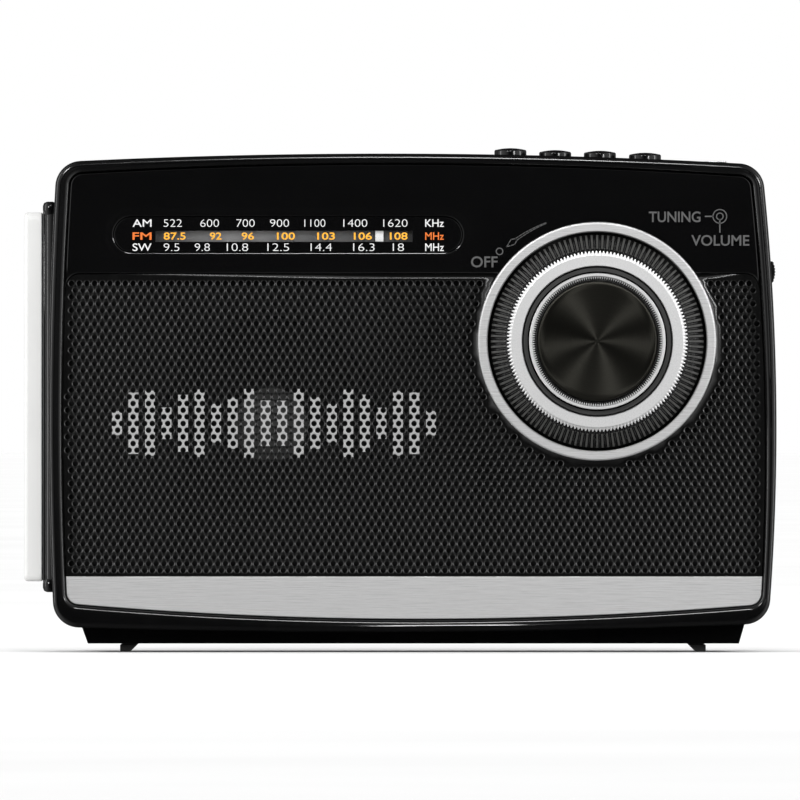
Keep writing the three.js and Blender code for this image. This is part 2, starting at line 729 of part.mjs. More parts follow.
const INLET_MOUTH = { half: 7.6, radius: 4, floor: 25 };
piece(
  "mains_inlet",
  box(-9.5, 9.5, 23, HALF_DEPTH, -6, 6)
    .subtract(prism(stadium(0, 0, INLET_MOUTH.half, INLET_MOUTH.radius), INLET_MOUTH.floor, HALF_DEPTH + 1))
    .add(disc(1.2, 24, 33, 10).translate([-4.4, 0, 0]))
    .add(disc(1.2, 24, 33, 10).translate([4.4, 0, 0])),
  SATIN_BLACK,
  assembly(SOCKET_X, 0, INLET_Z),
);
piece(
  "usb_socket",
  box(-7.2, 7.2, 25, HALF_DEPTH, -3.6, 3.6).subtract(box(-6.3, 6.3, 26, HALF_DEPTH + 1, -2.6, 2.6)),
  STEEL,
  assembly(SOCKET_X, 0, USB_Z),
);

// ---------------------------------------------------------------- side lamp
const lampSeat = prism(bulgedOutline(CASE, REAR_INSET - GAP), -30, 50);
piece(
  "lamp_base",
  box(LAMP.seat, -100, LAMP.front, LAMP.back, LAMP.bottom, LAMP.top).subtract(lampSeat),
  GLOSS_BLACK,
);
const DIFFUSER_WALL = 1.8;
const diffuserBox = (shrink, right) => box(
  -HALF_WIDTH + shrink, right,
  LAMP.front + 2.5 + shrink, LAMP.back - 2.5 - shrink,
  LAMP.bottom + LAMP.lip + shrink, LAMP.top - LAMP.lip - shrink,
);
piece(
  "lamp_diffuser",
  diffuserBox(0, LAMP.seat - GAP).subtract(diffuserBox(DIFFUSER_WALL, LAMP.seat + 1)),
  WHITE_DIFFUSER,
);
piece("lamp_led_board", box(-111, -109.7, -5, 17, 28, 128), BOARD_GREEN);

// ---------------------------------------------------------------- carrying handle
function carryingHandle() {
  const { left, right, arm, bar, front, back, low, high } = HANDLE;
  const CORNER = 6;
  const outline = new THREE.Shape();
  outline.moveTo(left, front);
  outline.lineTo(left + arm, front);
  outline.lineTo(left + arm, back - bar - 3);
  outline.quadraticCurveTo(left + arm, back - bar, left + arm + 3, back - bar);
  outline.lineTo(right - arm - 3, back - bar);
  outline.quadraticCurveTo(right - arm, back - bar, right - arm, back - bar - 3);
  outline.lineTo(right - arm, front);
  outline.lineTo(right, front);
  outline.lineTo(right, back - CORNER);
  outline.absarc(right - CORNER, back - CORNER, CORNER, 0, Math.PI / 2);
  outline.lineTo(left + CORNER, back);
  outline.absarc(left + CORNER, back - CORNER, CORNER, Math.PI / 2, Math.PI);
  const BEVEL = 1;
  const geometry = new THREE.ExtrudeGeometry(outline, {
    depth: high - low - 2 * BEVEL,
    bevelThickness: BEVEL,
    bevelSize: BEVEL,
    bevelOffset: -BEVEL,
    bevelSegments: 1,
    curveSegments: 5,
  });
  geometry.translate(0, 0, low + BEVEL);
  const pin = (x0, x1) => alongX(disc(HINGE.pin, x0, x1, 12)).translate([0, HINGE.y, HINGE.z]);
  return toSolid(geometry)
    .add(pin(left - HINGE.length, left + 2))
    .add(pin(right - 2, right + HINGE.length));
}

piece("carrying_handle", carryingHandle(), SATIN_BLACK);

// ---------------------------------------------------------------- telescopic aerial
// The aerial's own frame has its elbow at the origin and the folded rod along -X.
const FORK = { half: 3.4, slot: 2.3, bottom: -4.2, top: 3 };
piece(
  "aerial_base",
  box(-3.4, 3.4, -FORK.half, FORK.half, FORK.bottom, FORK.top)
    .subtract(box(-5, 5, -FORK.slot, FORK.slot, FORK.bottom + 1, FORK.top + 1))
    .add(alongZ(disc(3.4, -8.3, -4, 16))),
  STEEL,
  aerial,
);

// A tube about -X from start to end, measured from the elbow.
const aerialTube = (inner, outer, start, end) => alongX(ring(inner, outer, -end, -start, 14));
const reach = AERIAL.x - AERIAL.tip;
piece(
  "aerial_tube_lower",
  aerialTube(2.5, 2.9, 7, reach - 10)
    .add(alongX(disc(2.9, -8, -5, 14)))
    .add(box(-6, 1.8, -2, 2, -2, 2)),
  STEEL,
  aerial,
);
piece("aerial_tube_middle", aerialTube(1.7, 2.2, 10, reach - 8), STEEL, aerial);
piece(
  "aerial_tip_rod",
  alongX(disc(1.4, -(reach - 5), -12, 12)).add(alongX(turned([
    [0, -reach], [2, -reach], [2.9, -reach + 1], [2.9, -reach + 5.4], [0, -reach + 5.4],
  ], 14))),
  STEEL,
  aerial,
);

export default receiver;
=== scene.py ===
"""Looks for the shortwave receiver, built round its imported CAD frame.

Shapes are written in millimetres and turned into metres when a mesh is made. +X is right,
+Y goes to the back and +Z is up, as in the frame.
"""

import math

import bmesh
import bpy
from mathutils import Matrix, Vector
from mathutils.geometry import delaunay_2d_cdt

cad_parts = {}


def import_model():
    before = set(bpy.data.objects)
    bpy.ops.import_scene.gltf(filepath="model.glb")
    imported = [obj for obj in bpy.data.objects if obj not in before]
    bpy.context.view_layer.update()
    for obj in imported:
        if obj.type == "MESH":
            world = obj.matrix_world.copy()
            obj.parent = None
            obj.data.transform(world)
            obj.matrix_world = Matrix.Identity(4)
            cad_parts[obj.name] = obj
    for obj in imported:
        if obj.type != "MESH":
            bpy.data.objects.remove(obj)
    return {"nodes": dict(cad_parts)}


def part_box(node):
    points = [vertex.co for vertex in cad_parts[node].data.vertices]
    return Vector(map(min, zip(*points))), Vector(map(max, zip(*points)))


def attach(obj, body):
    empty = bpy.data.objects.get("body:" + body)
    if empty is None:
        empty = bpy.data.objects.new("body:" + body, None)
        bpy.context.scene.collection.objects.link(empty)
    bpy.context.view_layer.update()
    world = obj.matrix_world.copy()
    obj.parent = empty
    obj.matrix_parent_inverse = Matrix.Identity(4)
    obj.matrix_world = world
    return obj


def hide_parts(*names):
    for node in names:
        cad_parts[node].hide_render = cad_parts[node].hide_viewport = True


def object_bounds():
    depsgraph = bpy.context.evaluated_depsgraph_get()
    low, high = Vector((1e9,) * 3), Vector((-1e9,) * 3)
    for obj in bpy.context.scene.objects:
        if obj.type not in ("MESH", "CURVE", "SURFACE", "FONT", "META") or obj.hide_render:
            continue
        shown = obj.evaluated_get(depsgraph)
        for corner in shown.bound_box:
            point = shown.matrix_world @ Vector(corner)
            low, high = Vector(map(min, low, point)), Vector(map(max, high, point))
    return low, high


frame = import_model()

cad_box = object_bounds()
MM = 0.001
TAU = 2 * math.pi


def mm_box(node):
    """A CAD node's lowest and highest corner in millimetres."""
    low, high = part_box(node)
    return Vector(low) / MM, Vector(high) / MM


# ------------ driving dimensions
CASE_LOW, CASE_HIGH = mm_box("front_case")
FASCIA_LOW, FASCIA_HIGH = mm_box("upper_panel")
GRILLE_LOW, GRILLE_HIGH = mm_box("grille_plate")
TRIM_LOW, TRIM_HIGH = mm_box("trim_bar")
RING_LOW, RING_HIGH = mm_box("dial_ring")
LENS_LOW, LENS_HIGH = mm_box("scale_lens")
DIAL = (RING_LOW + RING_HIGH) / 2
PARTING = mm_box("rear_case")[0].y - 0.3

# The same outlines as the frame: sharp corners [x, z], bulge of each side, corner radius.
CASE = {
    "corners": [(-105.7, 7.8), (112.6, 8.8), (110.6, 149), (-104.9, 149.8)],
    "rise": (2, 3.4, 3, 2),
    "radius": 8,
}
OPENING = {
    "corners": [(-101.9, 14.7), (110.4, 14.4), (107.3, 145.5), (-100.7, 146.3)],
    "rise": (4.6, 2.75, 3.4, 1.9),
    "radius": 4,
}
CUTOUT = 34.6            # round cut-out behind the dial ring
GRILLE_CORNER = 4.0      # the grille opening's rounded top corners


# ------------ outlines
def bulged(shape, inset=0.0):
    """A four-sided outline with bulging sides and true round corners, anticlockwise."""
    CORNER_STEPS, SIDE_STEPS = 14, 40
    corners, radius = shape["corners"], shape["radius"]
    sharp = []
    for i, (x, z) in enumerate(corners):
        in_x = inset if i in (0, 3) else -inset
        in_z = inset if i < 2 else -inset
        sharp.append(Vector((x + in_x, z + in_z)))
    controls = []
    for i, start in enumerate(sharp):
        along = sharp[(i + 1) % 4] - start
        lift = 2 * shape["rise"][i] / (1 + 2 * radius / along.length)
        outward = Vector((along.y, -along.x)).normalized()
        controls.append((start + sharp[(i + 1) % 4]) / 2 + outward * lift)
    round_radius = max(radius - inset, 1.0)
    rounds = []
    for i, corner in enumerate(sharp):
        arriving = (corner - controls[i - 1]).normalized()
        leaving = (controls[i] - corner).normalized()
        turn = math.acos(arriving.dot(leaving))
        back = round_radius * math.tan(turn / 2)
        first = corner - arriving * back
        centre = first + Vector((-arriving.y, arriving.x)) * round_radius
        start = math.atan2(first.y - centre.y, first.x - centre.x)
        rounds.append((centre, start, turn, first, corner + leaving * back))
    points = []
    for i, (centre, start, turn, _, last) in enumerate(rounds):
        for k in range(CORNER_STEPS):
            angle = start + turn * k / CORNER_STEPS
            points.append(centre + Vector((math.cos(angle), math.sin(angle))) * round_radius)
        end = rounds[(i + 1) % 4][3]
        for k in range(SIDE_STEPS):
            t = k / SIDE_STEPS
            points.append(last * (1 - t) ** 2 + controls[i] * 2 * t * (1 - t) + end * t ** 2)
    return [(p.x, p.y) for p in points]


def circle(x, z, radius, steps=96):
    return [(x + radius * math.cos(TAU * k / steps), z + radius * math.sin(TAU * k / steps))
            for k in range(steps)]


def stadium(x0, x1, z0, z1, steps=20):
    """A straight-sided outline with round ends, anticlockwise."""
    radius, z = (z1 - z0) / 2, (z0 + z1) / 2
    points = []
    for centre, start in ((x1 - radius, -math.pi / 2), (x0 + radius, math.pi / 2)):
        for k in range(steps + 1):
            angle = start + math.pi * k / steps
            points.append((centre + radius * math.cos(angle), z + radius * math.sin(angle)))
    return points


def rounded(x0, x1, z0, z1, radius, steps=6):
    """A rectangle with round corners, anticlockwise."""
    points = []
    middles = ((x1 - radius, z0 + radius, -0.25), (x1 - radius, z1 - radius, 0),
               (x0 + radius, z1 - radius, 0.25), (x0 + radius, z0 + radius, 0.5))
    for x, z, start in middles:
        for k in range(steps + 1):
            angle = TAU * (start + 0.25 * k / steps)
            points.append((x + radius * math.cos(angle), z + radius * math.sin(angle)))
    return points


def quarter(steps):
    """Pairs that round an edge off, from [0, 1] to [1, 0]."""
    angles = [math.pi / 2 * k / steps for k in range(steps + 1)]
    return [(1 - math.cos(a), 1 - math.sin(a)) for a in angles]


def offset(points, distance):
    """The outline moved outwards by a distance along its corners' normals."""
    moved = []
    for i, point in enumerate(points):
        before, here = Vector(points[i - 1]), Vector(point)
        after = Vector(points[(i + 1) % len(points)])
        first, second = (here - before).normalized(), (after - here).normalized()
        normal = Vector((first.y + second.y, -first.x - second.x))
        normal = normal.normalized() if normal.length > 1e-6 else Vector((first.y, -first.x))
        stretch = max(normal.dot(Vector((first.y, -first.x))), 0.5)
        moved.append(tuple(here + normal * (distance / stretch)))
    return moved


def clip(points, z, keep_above):
    """The part of a convex outline above or below a height."""
    sign = 1 if keep_above else -1
    kept = []
    for i, (x, at) in enumerate(points):
        before_x, before = points[i - 1]
        if (at - z) * (before - z) < 0:
            t = (z - before) / (at - before)
            kept.append((before_x + (x - before_x) * t, z))
        if (at - z) * sign >= 0:
            kept.append((x, at))
    return kept


def inside(point, loop):
    x, z = point
    hit = False
    for i, (x1, z1) in enumerate(loop):
        x0, z0 = loop[i - 1]
        if (z0 > z) != (z1 > z) and x < x0 + (x1 - x0) * (z - z0) / (z1 - z0):
            hit = not hit
    return hit


# ------------ mesh building
class Shape:
    """Points and faces gathered for one mesh, with a material number for each face."""

    def __init__(self):
        self.points, self.faces, self.paint = [], [], []

    def add(self, points, faces, paint=0):
        base = len(self.points)
        self.points += points
        self.faces += [tuple(base + i for i in face) for face in faces]
        self.paint += [paint] * len(faces)
        return self

    def loft(self, loops, paint=0, across=False, caps=True):
        """A skin over loops of equally many points. across joins the last loop to the first."""
        count = len(loops[0])
        points = [point for loop in loops for point in loop]
        faces = []
        for a in range(len(loops) if across else len(loops) - 1):
            b = (a + 1) % len(loops)
            for i in range(count):
                j = (i + 1) % count
                faces.append((a * count + i, a * count + j, b * count + j, b * count + i))
        if caps and not across:
            faces.append(tuple(range(count)))
            faces.append(tuple(range(len(points) - count, len(points))))
        return self.add(points, faces, paint)

    def sheet(self, loops, y, paint=0):
        """A flat face in X and Z at one depth, inside the first loop and outside the others."""
        flat = [point for loop in loops for point in loop]
        edges, base = [], 0
        for loop in loops:
            edges += [(base + i, base + (i + 1) % len(loop)) for i in range(len(loop))]
            base += len(loop)
        first = list(range(len(loops[0])))
        corners = [Vector(p) for p in flat]
        verts, _, faces, _, _, _ = delaunay_2d_cdt(corners, edges, [first], 1, 1e-5)
        kept = []
        for face in faces:
            middle = sum((verts[i] for i in face), Vector((0, 0))) / len(face)
            if not any(inside(middle, hole) for hole in loops[1:]):
                kept.append(tuple(face))
        return self.add([(v.x, y, v.y) for v in verts], kept, paint)

    def plate(self, outer, holes, front, back, bevel=0.3, paint=0):
        """A flat plate with rounded front edges, between two depths."""
        fronts, backs = [], []
        for loop, way in [(outer, -1)] + [(hole, 1) for hole in holes]:
            rings = [offset(loop, way * share * bevel) for share in (0, 0, 0.3, 1)]
            depths = (back, front + bevel, front + 0.3 * bevel, front)
            skin = [[(x, y, z) for x, z in ring] for ring, y in zip(rings, depths)]
            self.loft(skin, paint, caps=False)
            fronts.append(rings[-1])
            backs.append(rings[0])
        self.sheet(fronts, front, paint=paint)
        self.sheet(backs, back, paint=paint)
        return self

    def block(self, low, high, radius=0.3, paint=0):
        """A box with rounded edges, standing along Z."""
        (x0, y0, z0), (x1, y1, z1) = low, high
        loops = []
        for share, z in ((1, z0), (0.3, z0 + 0.3 * radius), (0, z0 + radius),
                         (0, z1 - radius), (0.3, z1 - 0.3 * radius), (1, z1)):
            ring = offset(rounded(x0, x1, y0, y1, radius * 1.5), -share * radius)
            loops.append([(x, y, z) for x, y in ring])
        return self.loft(loops, paint)

    def turned(self, profile, centre, segments=128, wave=None, paint=0, closed=False):
        """Revolves [radius, y, ripple] rows about the Y axis through centre. wave(turn) is -1 to 1."""
        loops = []
        for radius, y, *ripple in profile:
            loop = []
            for k in range(segments):
                turn = k / segments
                reach = radius + (ripple[0] * wave(turn) if ripple and wave else 0)
                across_x, across_z = reach * math.cos(TAU * turn), reach * math.sin(TAU * turn)
                loop.append((centre[0] + across_x, y, centre[1] + across_z))
            loops.append(loop)
        return self.loft(loops, paint, across=closed)


def crease(build, angle):
    """Smooth shading that stops at sharp edges and at the rim of faces square to Y."""
    build.normal_update()
    for face in build.faces:
        face.smooth = True
    for edge in build.edges:
        if len(edge.link_faces) == 2:
            square = [abs(face.normal.y) > 0.99999 for face in edge.link_faces]
            edge.smooth = square[0] == square[1] and edge.calc_face_angle(0) < angle


def piece(name, shape, materials, body="cabinet", replaces=(), sharp=32):
    """Makes the object, in metres, and ties it to its body, CAD nodes and material slot."""
    mesh = bpy.data.meshes.new(name)
    mesh.from_pydata([(x * MM, y * MM, z * MM) for x, y, z in shape.points], [], shape.faces)
    for index, paint in enumerate(shape.paint):
        mesh.polygons[index].material_index = paint
    build = bmesh.new()
    build.from_mesh(mesh)
    bmesh.ops.remove_doubles(build, verts=build.verts, dist=2e-7)
    bmesh.ops.recalc_face_normals(build, faces=build.faces)
    crease(build, math.radians(sharp))
    build.to_mesh(mesh)
    build.free()
    return tie(bpy.data.objects.new(name, mesh), materials, body, replaces)


def tie(thing, materials, body, replaces=()):
    bpy.context.scene.collection.objects.link(thing)
    for material in materials if isinstance(materials, (list, tuple)) else [materials]:
        thing.data.materials.append(material)
    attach(thing, body)
    if replaces:
        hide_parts(*replaces)
    return thing


def refined(node, materials, body="cabinet", bevel=0.35, segments=3):
    """A CAD node's solid with its flat facets joined and its edges rounded, standing for it."""
    source = frame["nodes"][node].data
    mesh = bpy.data.meshes.new(node + "_fine")
    build = bmesh.new()
    build.from_mesh(source)
    bmesh.ops.remove_doubles(build, verts=build.verts, dist=2e-6)
    bmesh.ops.dissolve_limit(build, angle_limit=math.radians(1), verts=build.verts,
                             edges=build.edges, delimit={"NORMAL"})
    build.to_mesh(mesh)
    build.free()
    thing = bpy.data.objects.new(node + "_fine", mesh)
    tie(thing, materials, body, (node,))
    rounding = thing.modifiers.new("rounding", "BEVEL")
    rounding.width = bevel * MM
    rounding.segments = segments
    rounding.limit_method = "ANGLE"
    rounding.angle_limit = math.radians(35)
    rounding.harden_normals = True
    mesh.shade_smooth()
    mesh.set_sharp_from_angle(angle=math.radians(40))
    return thing


# ------------ materials
def feed(node, inputs):
    """Sets a shader node's inputs to values, or links them to the outputs that feed them."""
    for socket, value in inputs.items():
        if isinstance(value, bpy.types.NodeSocket):
            node.id_data.links.new(value, node.inputs[socket])
        else:
            node.inputs[socket].default_value = value


def add_node(tree, kind, inputs=None, **properties):
    node = tree.nodes.new("ShaderNode" + kind)
    for name, value in properties.items():
        setattr(node, name, value)
    feed(node, inputs or {})
    return node


def nodes_of(name):
    material = bpy.data.materials.new(name)
    material.use_nodes = True
    tree = material.node_tree
    return material, tree, tree.nodes["Principled BSDF"]


def own_space(tree):
    return add_node(tree, "TexCoord").outputs["Object"]


def maths(tree, operation, *values):
    return add_node(tree, "Math", dict(enumerate(values)), operation=operation).outputs["Value"]


def mixed(tree, share, first, second, blend="MIX"):
    inputs = {"Fac": share, "Color1": first, "Color2": second}
    return add_node(tree, "MixRGB", inputs, blend_type=blend).outputs["Color"]


def grain(tree, scale, stretch=(1, 1, 1), detail=4.0, rough=0.6):
    """Noise in the object's own space. scale is in features per metre."""
    mapping = add_node(tree, "Mapping", {"Vector": own_space(tree), "Scale": stretch})
    noise = {"Vector": mapping.outputs["Vector"], "Scale": scale, "Detail": detail, "Roughness": rough}
    return add_node(tree, "TexNoise", noise).outputs["Fac"]


def ramp(tree, source, stops):
    """Colours or greys along a value, at stops of [place, colour]."""
    node = add_node(tree, "ValToRGB", {"Fac": source})
    element = node.color_ramp.elements
    while len(element) < len(stops):
        element.new(0.5)
    for target, (at, colour) in zip(element, stops):
        target.position = at
        target.color = (*colour, 1) if isinstance(colour, tuple) else (colour, colour, colour, 1)
    return node.outputs["Color"]


def bump(tree, shader, height, strength, distance):
    inputs = {"Height": height, "Strength": strength, "Distance": distance}
    feed(shader, {"Normal": add_node(tree, "Bump", inputs).outputs["Normal"]})


def between(dark, light):
    return [(0.3, dark), (0.7, light)]


def plastic(name, colour, rough, texture=0.0, feature=2500, specular=0.5, vary=1.25):
    """Moulded plastic: a fine spark-eroded texture, uneven gloss and slight handling marks."""
    material, tree, shader = nodes_of(name)
    lighter = tuple(min(c * vary, 1) for c in colour)
    marks = grain(tree, 220, (1, 1, 0.25), detail=6, rough=0.7)
    feed(shader, {
        "Base Color": ramp(tree, grain(tree, 60, detail=5), between(colour, lighter)),
        "Roughness": ramp(tree, marks, between(rough * 0.85, min(rough * 1.2, 1))),
        "Specular IOR Level": specular,
    })
    if texture:
        bump(tree, shader, grain(tree, feature, detail=2), texture, 0.00006)
    return material


def metal(name, dark, light, rough, stretch=(1, 1, 1), feature=900, depth=0.12):
    """Metal with a finish of fine lines: stretch sets which way they run."""
    material, tree, shader = nodes_of(name)
    lines = grain(tree, feature, stretch, detail=3, rough=0.7)
    feed(shader, {
        "Metallic": 1.0,
        "Base Color": ramp(tree, lines, between(dark, light)),
        "Roughness": ramp(tree, lines, between(rough * 1.15, rough * 0.85)),
    })
    bump(tree, shader, lines, depth, 0.00004)
    return material


def spun(name, dark, light, rough, centre):
    """Metal turned on a lathe: fine rings about the dial's axis, lit as fans."""
    material, tree, shader = nodes_of(name)
    flat = add_node(tree, "VectorMath", {0: own_space(tree), 1: (1, 0, 1)}, operation="MULTIPLY")
    axis = (centre[0] * MM, 0, centre[1] * MM)
    apart = add_node(tree, "VectorMath", {0: flat.outputs["Vector"], 1: axis}, operation="DISTANCE")
    noise = {"W": apart.outputs["Value"], "Scale": 9000, "Detail": 3}
    rings = add_node(tree, "TexNoise", noise, noise_dimensions="1D").outputs["Fac"]
    tangent = add_node(tree, "Tangent", direction_type="RADIAL", axis="Y")
    feed(shader, {
        "Metallic": 1.0,
        "Anisotropic": 0.95,
        "Base Color": ramp(tree, rings, between(dark, light)),
        "Roughness": ramp(tree, rings, between(rough * 1.1, rough * 0.9)),
        "Tangent": tangent.outputs["Tangent"],
    })
    bump(tree, shader, rings, 0.08, 0.00003)
    return material


def grille_enamel():
    """Black enamel on the pierced sheet, with a printed sound-wave motif in pale grey bars."""
    LEFT, RIGHT, MIDDLE = -88 * MM, 13 * MM, 70 * MM
    BAR_PITCH, BAR_SHARE, TALLEST = 5.05 * MM, 0.6, 10.5 * MM
    BAR_GREY = (0.27, 0.27, 0.27, 1)
    black = (0.0012, 0.0012, 0.0012)
    material = plastic("grille_enamel", black, 0.2, texture=0.2, feature=5000, specular=0.55)
    tree = material.node_tree
    shader = tree.nodes["Principled BSDF"]
    enamel = shader.inputs["Base Color"].links[0].from_socket
    place = add_node(tree, "SeparateXYZ", {"Vector": own_space(tree)}).outputs
    step = maths(tree, "DIVIDE", maths(tree, "SUBTRACT", place["X"], LEFT), BAR_PITCH)
    wave = maths(tree, "SINE", maths(tree, "MULTIPLY", maths(tree, "FLOOR", step), 2.15))
    share = maths(tree, "MULTIPLY", maths(tree, "ABSOLUTE", wave), 0.65)
    reach = maths(tree, "MULTIPLY", maths(tree, "ADD", share, 0.35), TALLEST)
    away = maths(tree, "ABSOLUTE", maths(tree, "SUBTRACT", place["Z"], MIDDLE))
    mask = maths(tree, "LESS_THAN", maths(tree, "FRACT", step), BAR_SHARE)
    for test in (maths(tree, "LESS_THAN", away, reach), maths(tree, "GREATER_THAN", place["X"], LEFT),
                 maths(tree, "LESS_THAN", place["X"], RIGHT)):
        mask = maths(tree, "MULTIPLY", mask, test)
    feed(shader, {"Base Color": mixed(tree, mask, enamel, BAR_GREY)})
    return material


DIAL_XZ = (DIAL.x, DIAL.z)
GLOSS = plastic("gloss_black_plastic", (0.0018, 0.0018, 0.0019), 0.09)
RIM_GLOSS = plastic("rim_black_plastic", (0.0014, 0.0014, 0.0015), 0.13)
SATIN = plastic("satin_black_plastic", (0.0035, 0.0035, 0.0037), 0.36, texture=0.35, specular=0.4)
KNOB = plastic("knob_black_plastic", (0.0025, 0.0025, 0.0025), 0.24, texture=0.1)
KNOB_GREY = plastic("knob_grey_lip", (0.02, 0.02, 0.0195), 0.4)
# Painted highlight: a lighter grey for the crests of the black knob's ribs, where they would catch the
# light.
RIB_HIGHLIGHT = plastic("knob_rib_painted_highlight", (0.04, 0.04, 0.038), 0.4)
BAFFLE = plastic("baffle_black", (0.0012, 0.0012, 0.0012), 0.6, texture=0.3)
PRINT_BLACK = plastic("window_print_black", (0.0015, 0.0015, 0.0016), 0.12)
BRUSHED = metal("brushed_aluminium", 0.52, 0.88, 0.48, (0.02, 1, 1), feature=4200, depth=0.3)
SATIN_RING = metal("satin_aluminium", 0.72, 0.86, 0.48, feature=2500, depth=0.05)
SPUN_DARK = spun("dark_spun_metal", (0.016, 0.0155, 0.013), (0.036, 0.035, 0.03), 0.36, DIAL_XZ)
CHROME = metal("aerial_chrome", 0.72, 0.8, 0.08, (0.05, 1, 1), feature=600, depth=0.02)
PLATED = metal("zinc_plate", 0.4, 0.52, 0.35, feature=500, depth=0.05)
BRASS = metal("machined_brass", (0.42, 0.28, 0.1), (0.55, 0.4, 0.16), 0.3, feature=1200)
WHITE = plastic("opal_diffuser", (0.68, 0.68, 0.67), 0.45, texture=0.05, vary=1.03)
POINTER_WHITE = plastic("pointer_white", (0.88, 0.88, 0.88), 0.4, vary=1.02)
RUBBER = plastic("foot_rubber", (0.008, 0.008, 0.008), 0.75, texture=0.5)
PAINTED = grille_enamel()
CARD = plastic("pressed_cone_paper", (0.006, 0.006, 0.006), 0.85, texture=0.9, feature=1800)
DUST_CAP = plastic("doped_dust_cap", (0.09, 0.09, 0.088), 0.5, texture=0.4)
FERRITE = plastic("sintered_ferrite", (0.02, 0.02, 0.022), 0.6, texture=0.6)
COPPER = metal("enamelled_copper", (0.35, 0.13, 0.05), (0.5, 0.22, 0.09), 0.3, (3, 0.2, 0.2))
BOARD = plastic("solder_mask", (0.012, 0.08, 0.03), 0.35, texture=0.2, feature=900)
SLEEVE = plastic("cell_sleeve", (0.02, 0.05, 0.11), 0.3)
CORD = plastic("braided_cord", (0.5, 0.47, 0.4), 0.8, texture=1.0, feature=6000)


def ink(name, colour, rough=0.5):
    """Printed ink: slightly uneven cover."""
    material, tree, shader = nodes_of(name)
    thin = tuple(c * 0.86 for c in colour)
    cover = ramp(tree, grain(tree, 3000, detail=3), between(thin, colour))
    feed(shader, {"Base Color": cover, "Roughness": rough})
    return material


WHITE_INK = ink("white_ink", (0.62, 0.62, 0.62))
ORANGE_INK = ink("orange_ink", (0.66, 0.13, 0.0))
AMBER_INK = ink("amber_ink", (0.8, 0.36, 0.008))
GREY_INK = ink("grey_relief", (0.075, 0.075, 0.075), 0.35)


def clear_window():
    material, tree, shader = nodes_of("clear_window")
    smear = ramp(tree, grain(tree, 90, detail=4), between(0.03, 0.07))
    feed(shader, {"Roughness": smear, "Base Color": (0.02, 0.02, 0.02, 1), "Alpha": 0.06})
    return material


def scale_backing_metal():
    """The strip behind the pointer: grey metallic paint, with a painted pool of light that peaks left of
    its middle.
    """
    material, tree, shader = nodes_of("scale_backing_metal")
    place = add_node(tree, "SeparateXYZ", {"Vector": own_space(tree)}).outputs
    ends = {"From Min": STRIP[0] * MM, "From Max": STRIP[1] * MM, "Value": place["X"]}
    along = add_node(tree, "MapRange", ends).outputs["Result"]
    # Painted light: the grey rises to a bright peak left of the middle and dims towards both ends.
    painted_light_pool = ramp(tree, along, [(0, 0.06), (0.28, 0.27), (0.62, 0.13), (1, 0.06)])
    flakes = ramp(tree, grain(tree, 4000, detail=2), between(0.8, 1.0))
    feed(shader, {"Base Color": mixed(tree, 0.5, painted_light_pool, flakes, "MULTIPLY"), "Roughness": 0.5})
    return material


STRIP = (-74.6, 3.7, 125.45, 128.75)    # left, right, bottom, top of the clear strip
CLEAR = clear_window()
BACKING = scale_backing_metal()


# ------------ front rim and baffle
def front_rim():
    """A glossy moulded ring with rounded outer and inner edges, and the baffle board behind it."""
    shape = Shape()
    outer, inner = bulged(CASE), bulged(OPENING)
    front = CASE_LOW.y
    FACE_EDGE = 1.5
    INNER_EDGE = 1.4

    def ring(share, y, push=0.0):
        loop = []
        for (x0, z0), (x1, z1) in zip(outer, inner):
            reach = math.hypot(x1 - x0, z1 - z0)
            t = min(share + push / reach, 1.0)
            loop.append((x0 + (x1 - x0) * t, y, z0 + (z1 - z0) * t))
        return loop

    EDGE_STEPS = 7
    loops = [ring(0.12, PARTING), ring(0, PARTING, 0.25), ring(0, PARTING - 0.5)]
    for inward, back in quarter(EDGE_STEPS):
        loops.append(ring(0, front + FACE_EDGE * back, FACE_EDGE * inward))
    loops.append(ring(0, front, FACE_EDGE + 0.25))
    loops.append(ring(1.0, front + 0.12, -INNER_EDGE - 0.25))
    for back, inward in quarter(EDGE_STEPS):
        loops.append(ring(1.0, front + 0.15 + INNER_EDGE * back, -INNER_EDGE * inward))
    loops += [ring(1.0, LEDGE_Y), ring(0.55, LEDGE_Y + 0.2), ring(0.4, PARTING)]
    shape.loft(loops, across=True)
    BAFFLE_FRONT, BAFFLE_BACK = -20.5, -18.5
    low, high = mm_box("speaker_basket")
    speaker = ((low.x + high.x) / 2, (low.z + high.z) / 2)
    slot = rounded(-75, 3.9, 129.8, 132, 0.9)
    holes = [circle(*speaker, 33), slot, circle(DIAL.x, DIAL.z, 4.8, 48)]
    shape.plate(bulged(CASE, 3.6), holes, BAFFLE_FRONT, BAFFLE_BACK, 0.2, paint=1)
    return shape


LEDGE_Y = -21.8
piece("front_case_rim", front_rim(), [RIM_GLOSS, BAFFLE], replaces=["front_case"])


# ------------ fascia, grille and trim bar
def dial_arc(z, radius, above, steps=60):
    """The arc of the dial cut-out above or below a height, left to right or right to left."""
    rise = z - DIAL.z
    start = math.asin(rise / radius)
    first, sweep = (math.pi - start, math.pi - 2 * start) if above else (start, math.pi + 2 * start)
    angles = [first - sweep * k / steps for k in range(steps + 1)]
    return [(DIAL.x + radius * math.cos(a), DIAL.z + radius * math.sin(a)) for a in angles]


def start_after(points, z, going_right):
    """Turns the list so that its cut edge along height z is the last one."""
    for i, (x, at) in enumerate(points):
        x0, z0 = points[i - 1]
        if abs(at - z) < 1e-6 and abs(z0 - z) < 1e-6 and (x > x0) == going_right and abs(x - x0) > 50:
            return points[i:] + points[:i]
    raise ValueError("no cut edge at %s" % z)


def fascia_outline():
    """The opening above the fascia's lower edge, with a fillet down each side of the grille."""
    bottom, radius = FASCIA_LOW.z, GRILLE_CORNER
    points = start_after(clip(bulged(OPENING, 0.3), bottom, True), bottom, True)
    left, right = points[-1][0], points[0][0]
    fillet_left = [(left + radius * a, bottom - radius * b) for a, b in quarter(8)]
    fillet_right = [(right - (x - left), z) for x, z in reversed(fillet_left)]
    return points[:-1] + fillet_left + dial_arc(bottom, CUTOUT, True) + fillet_right[:-1]


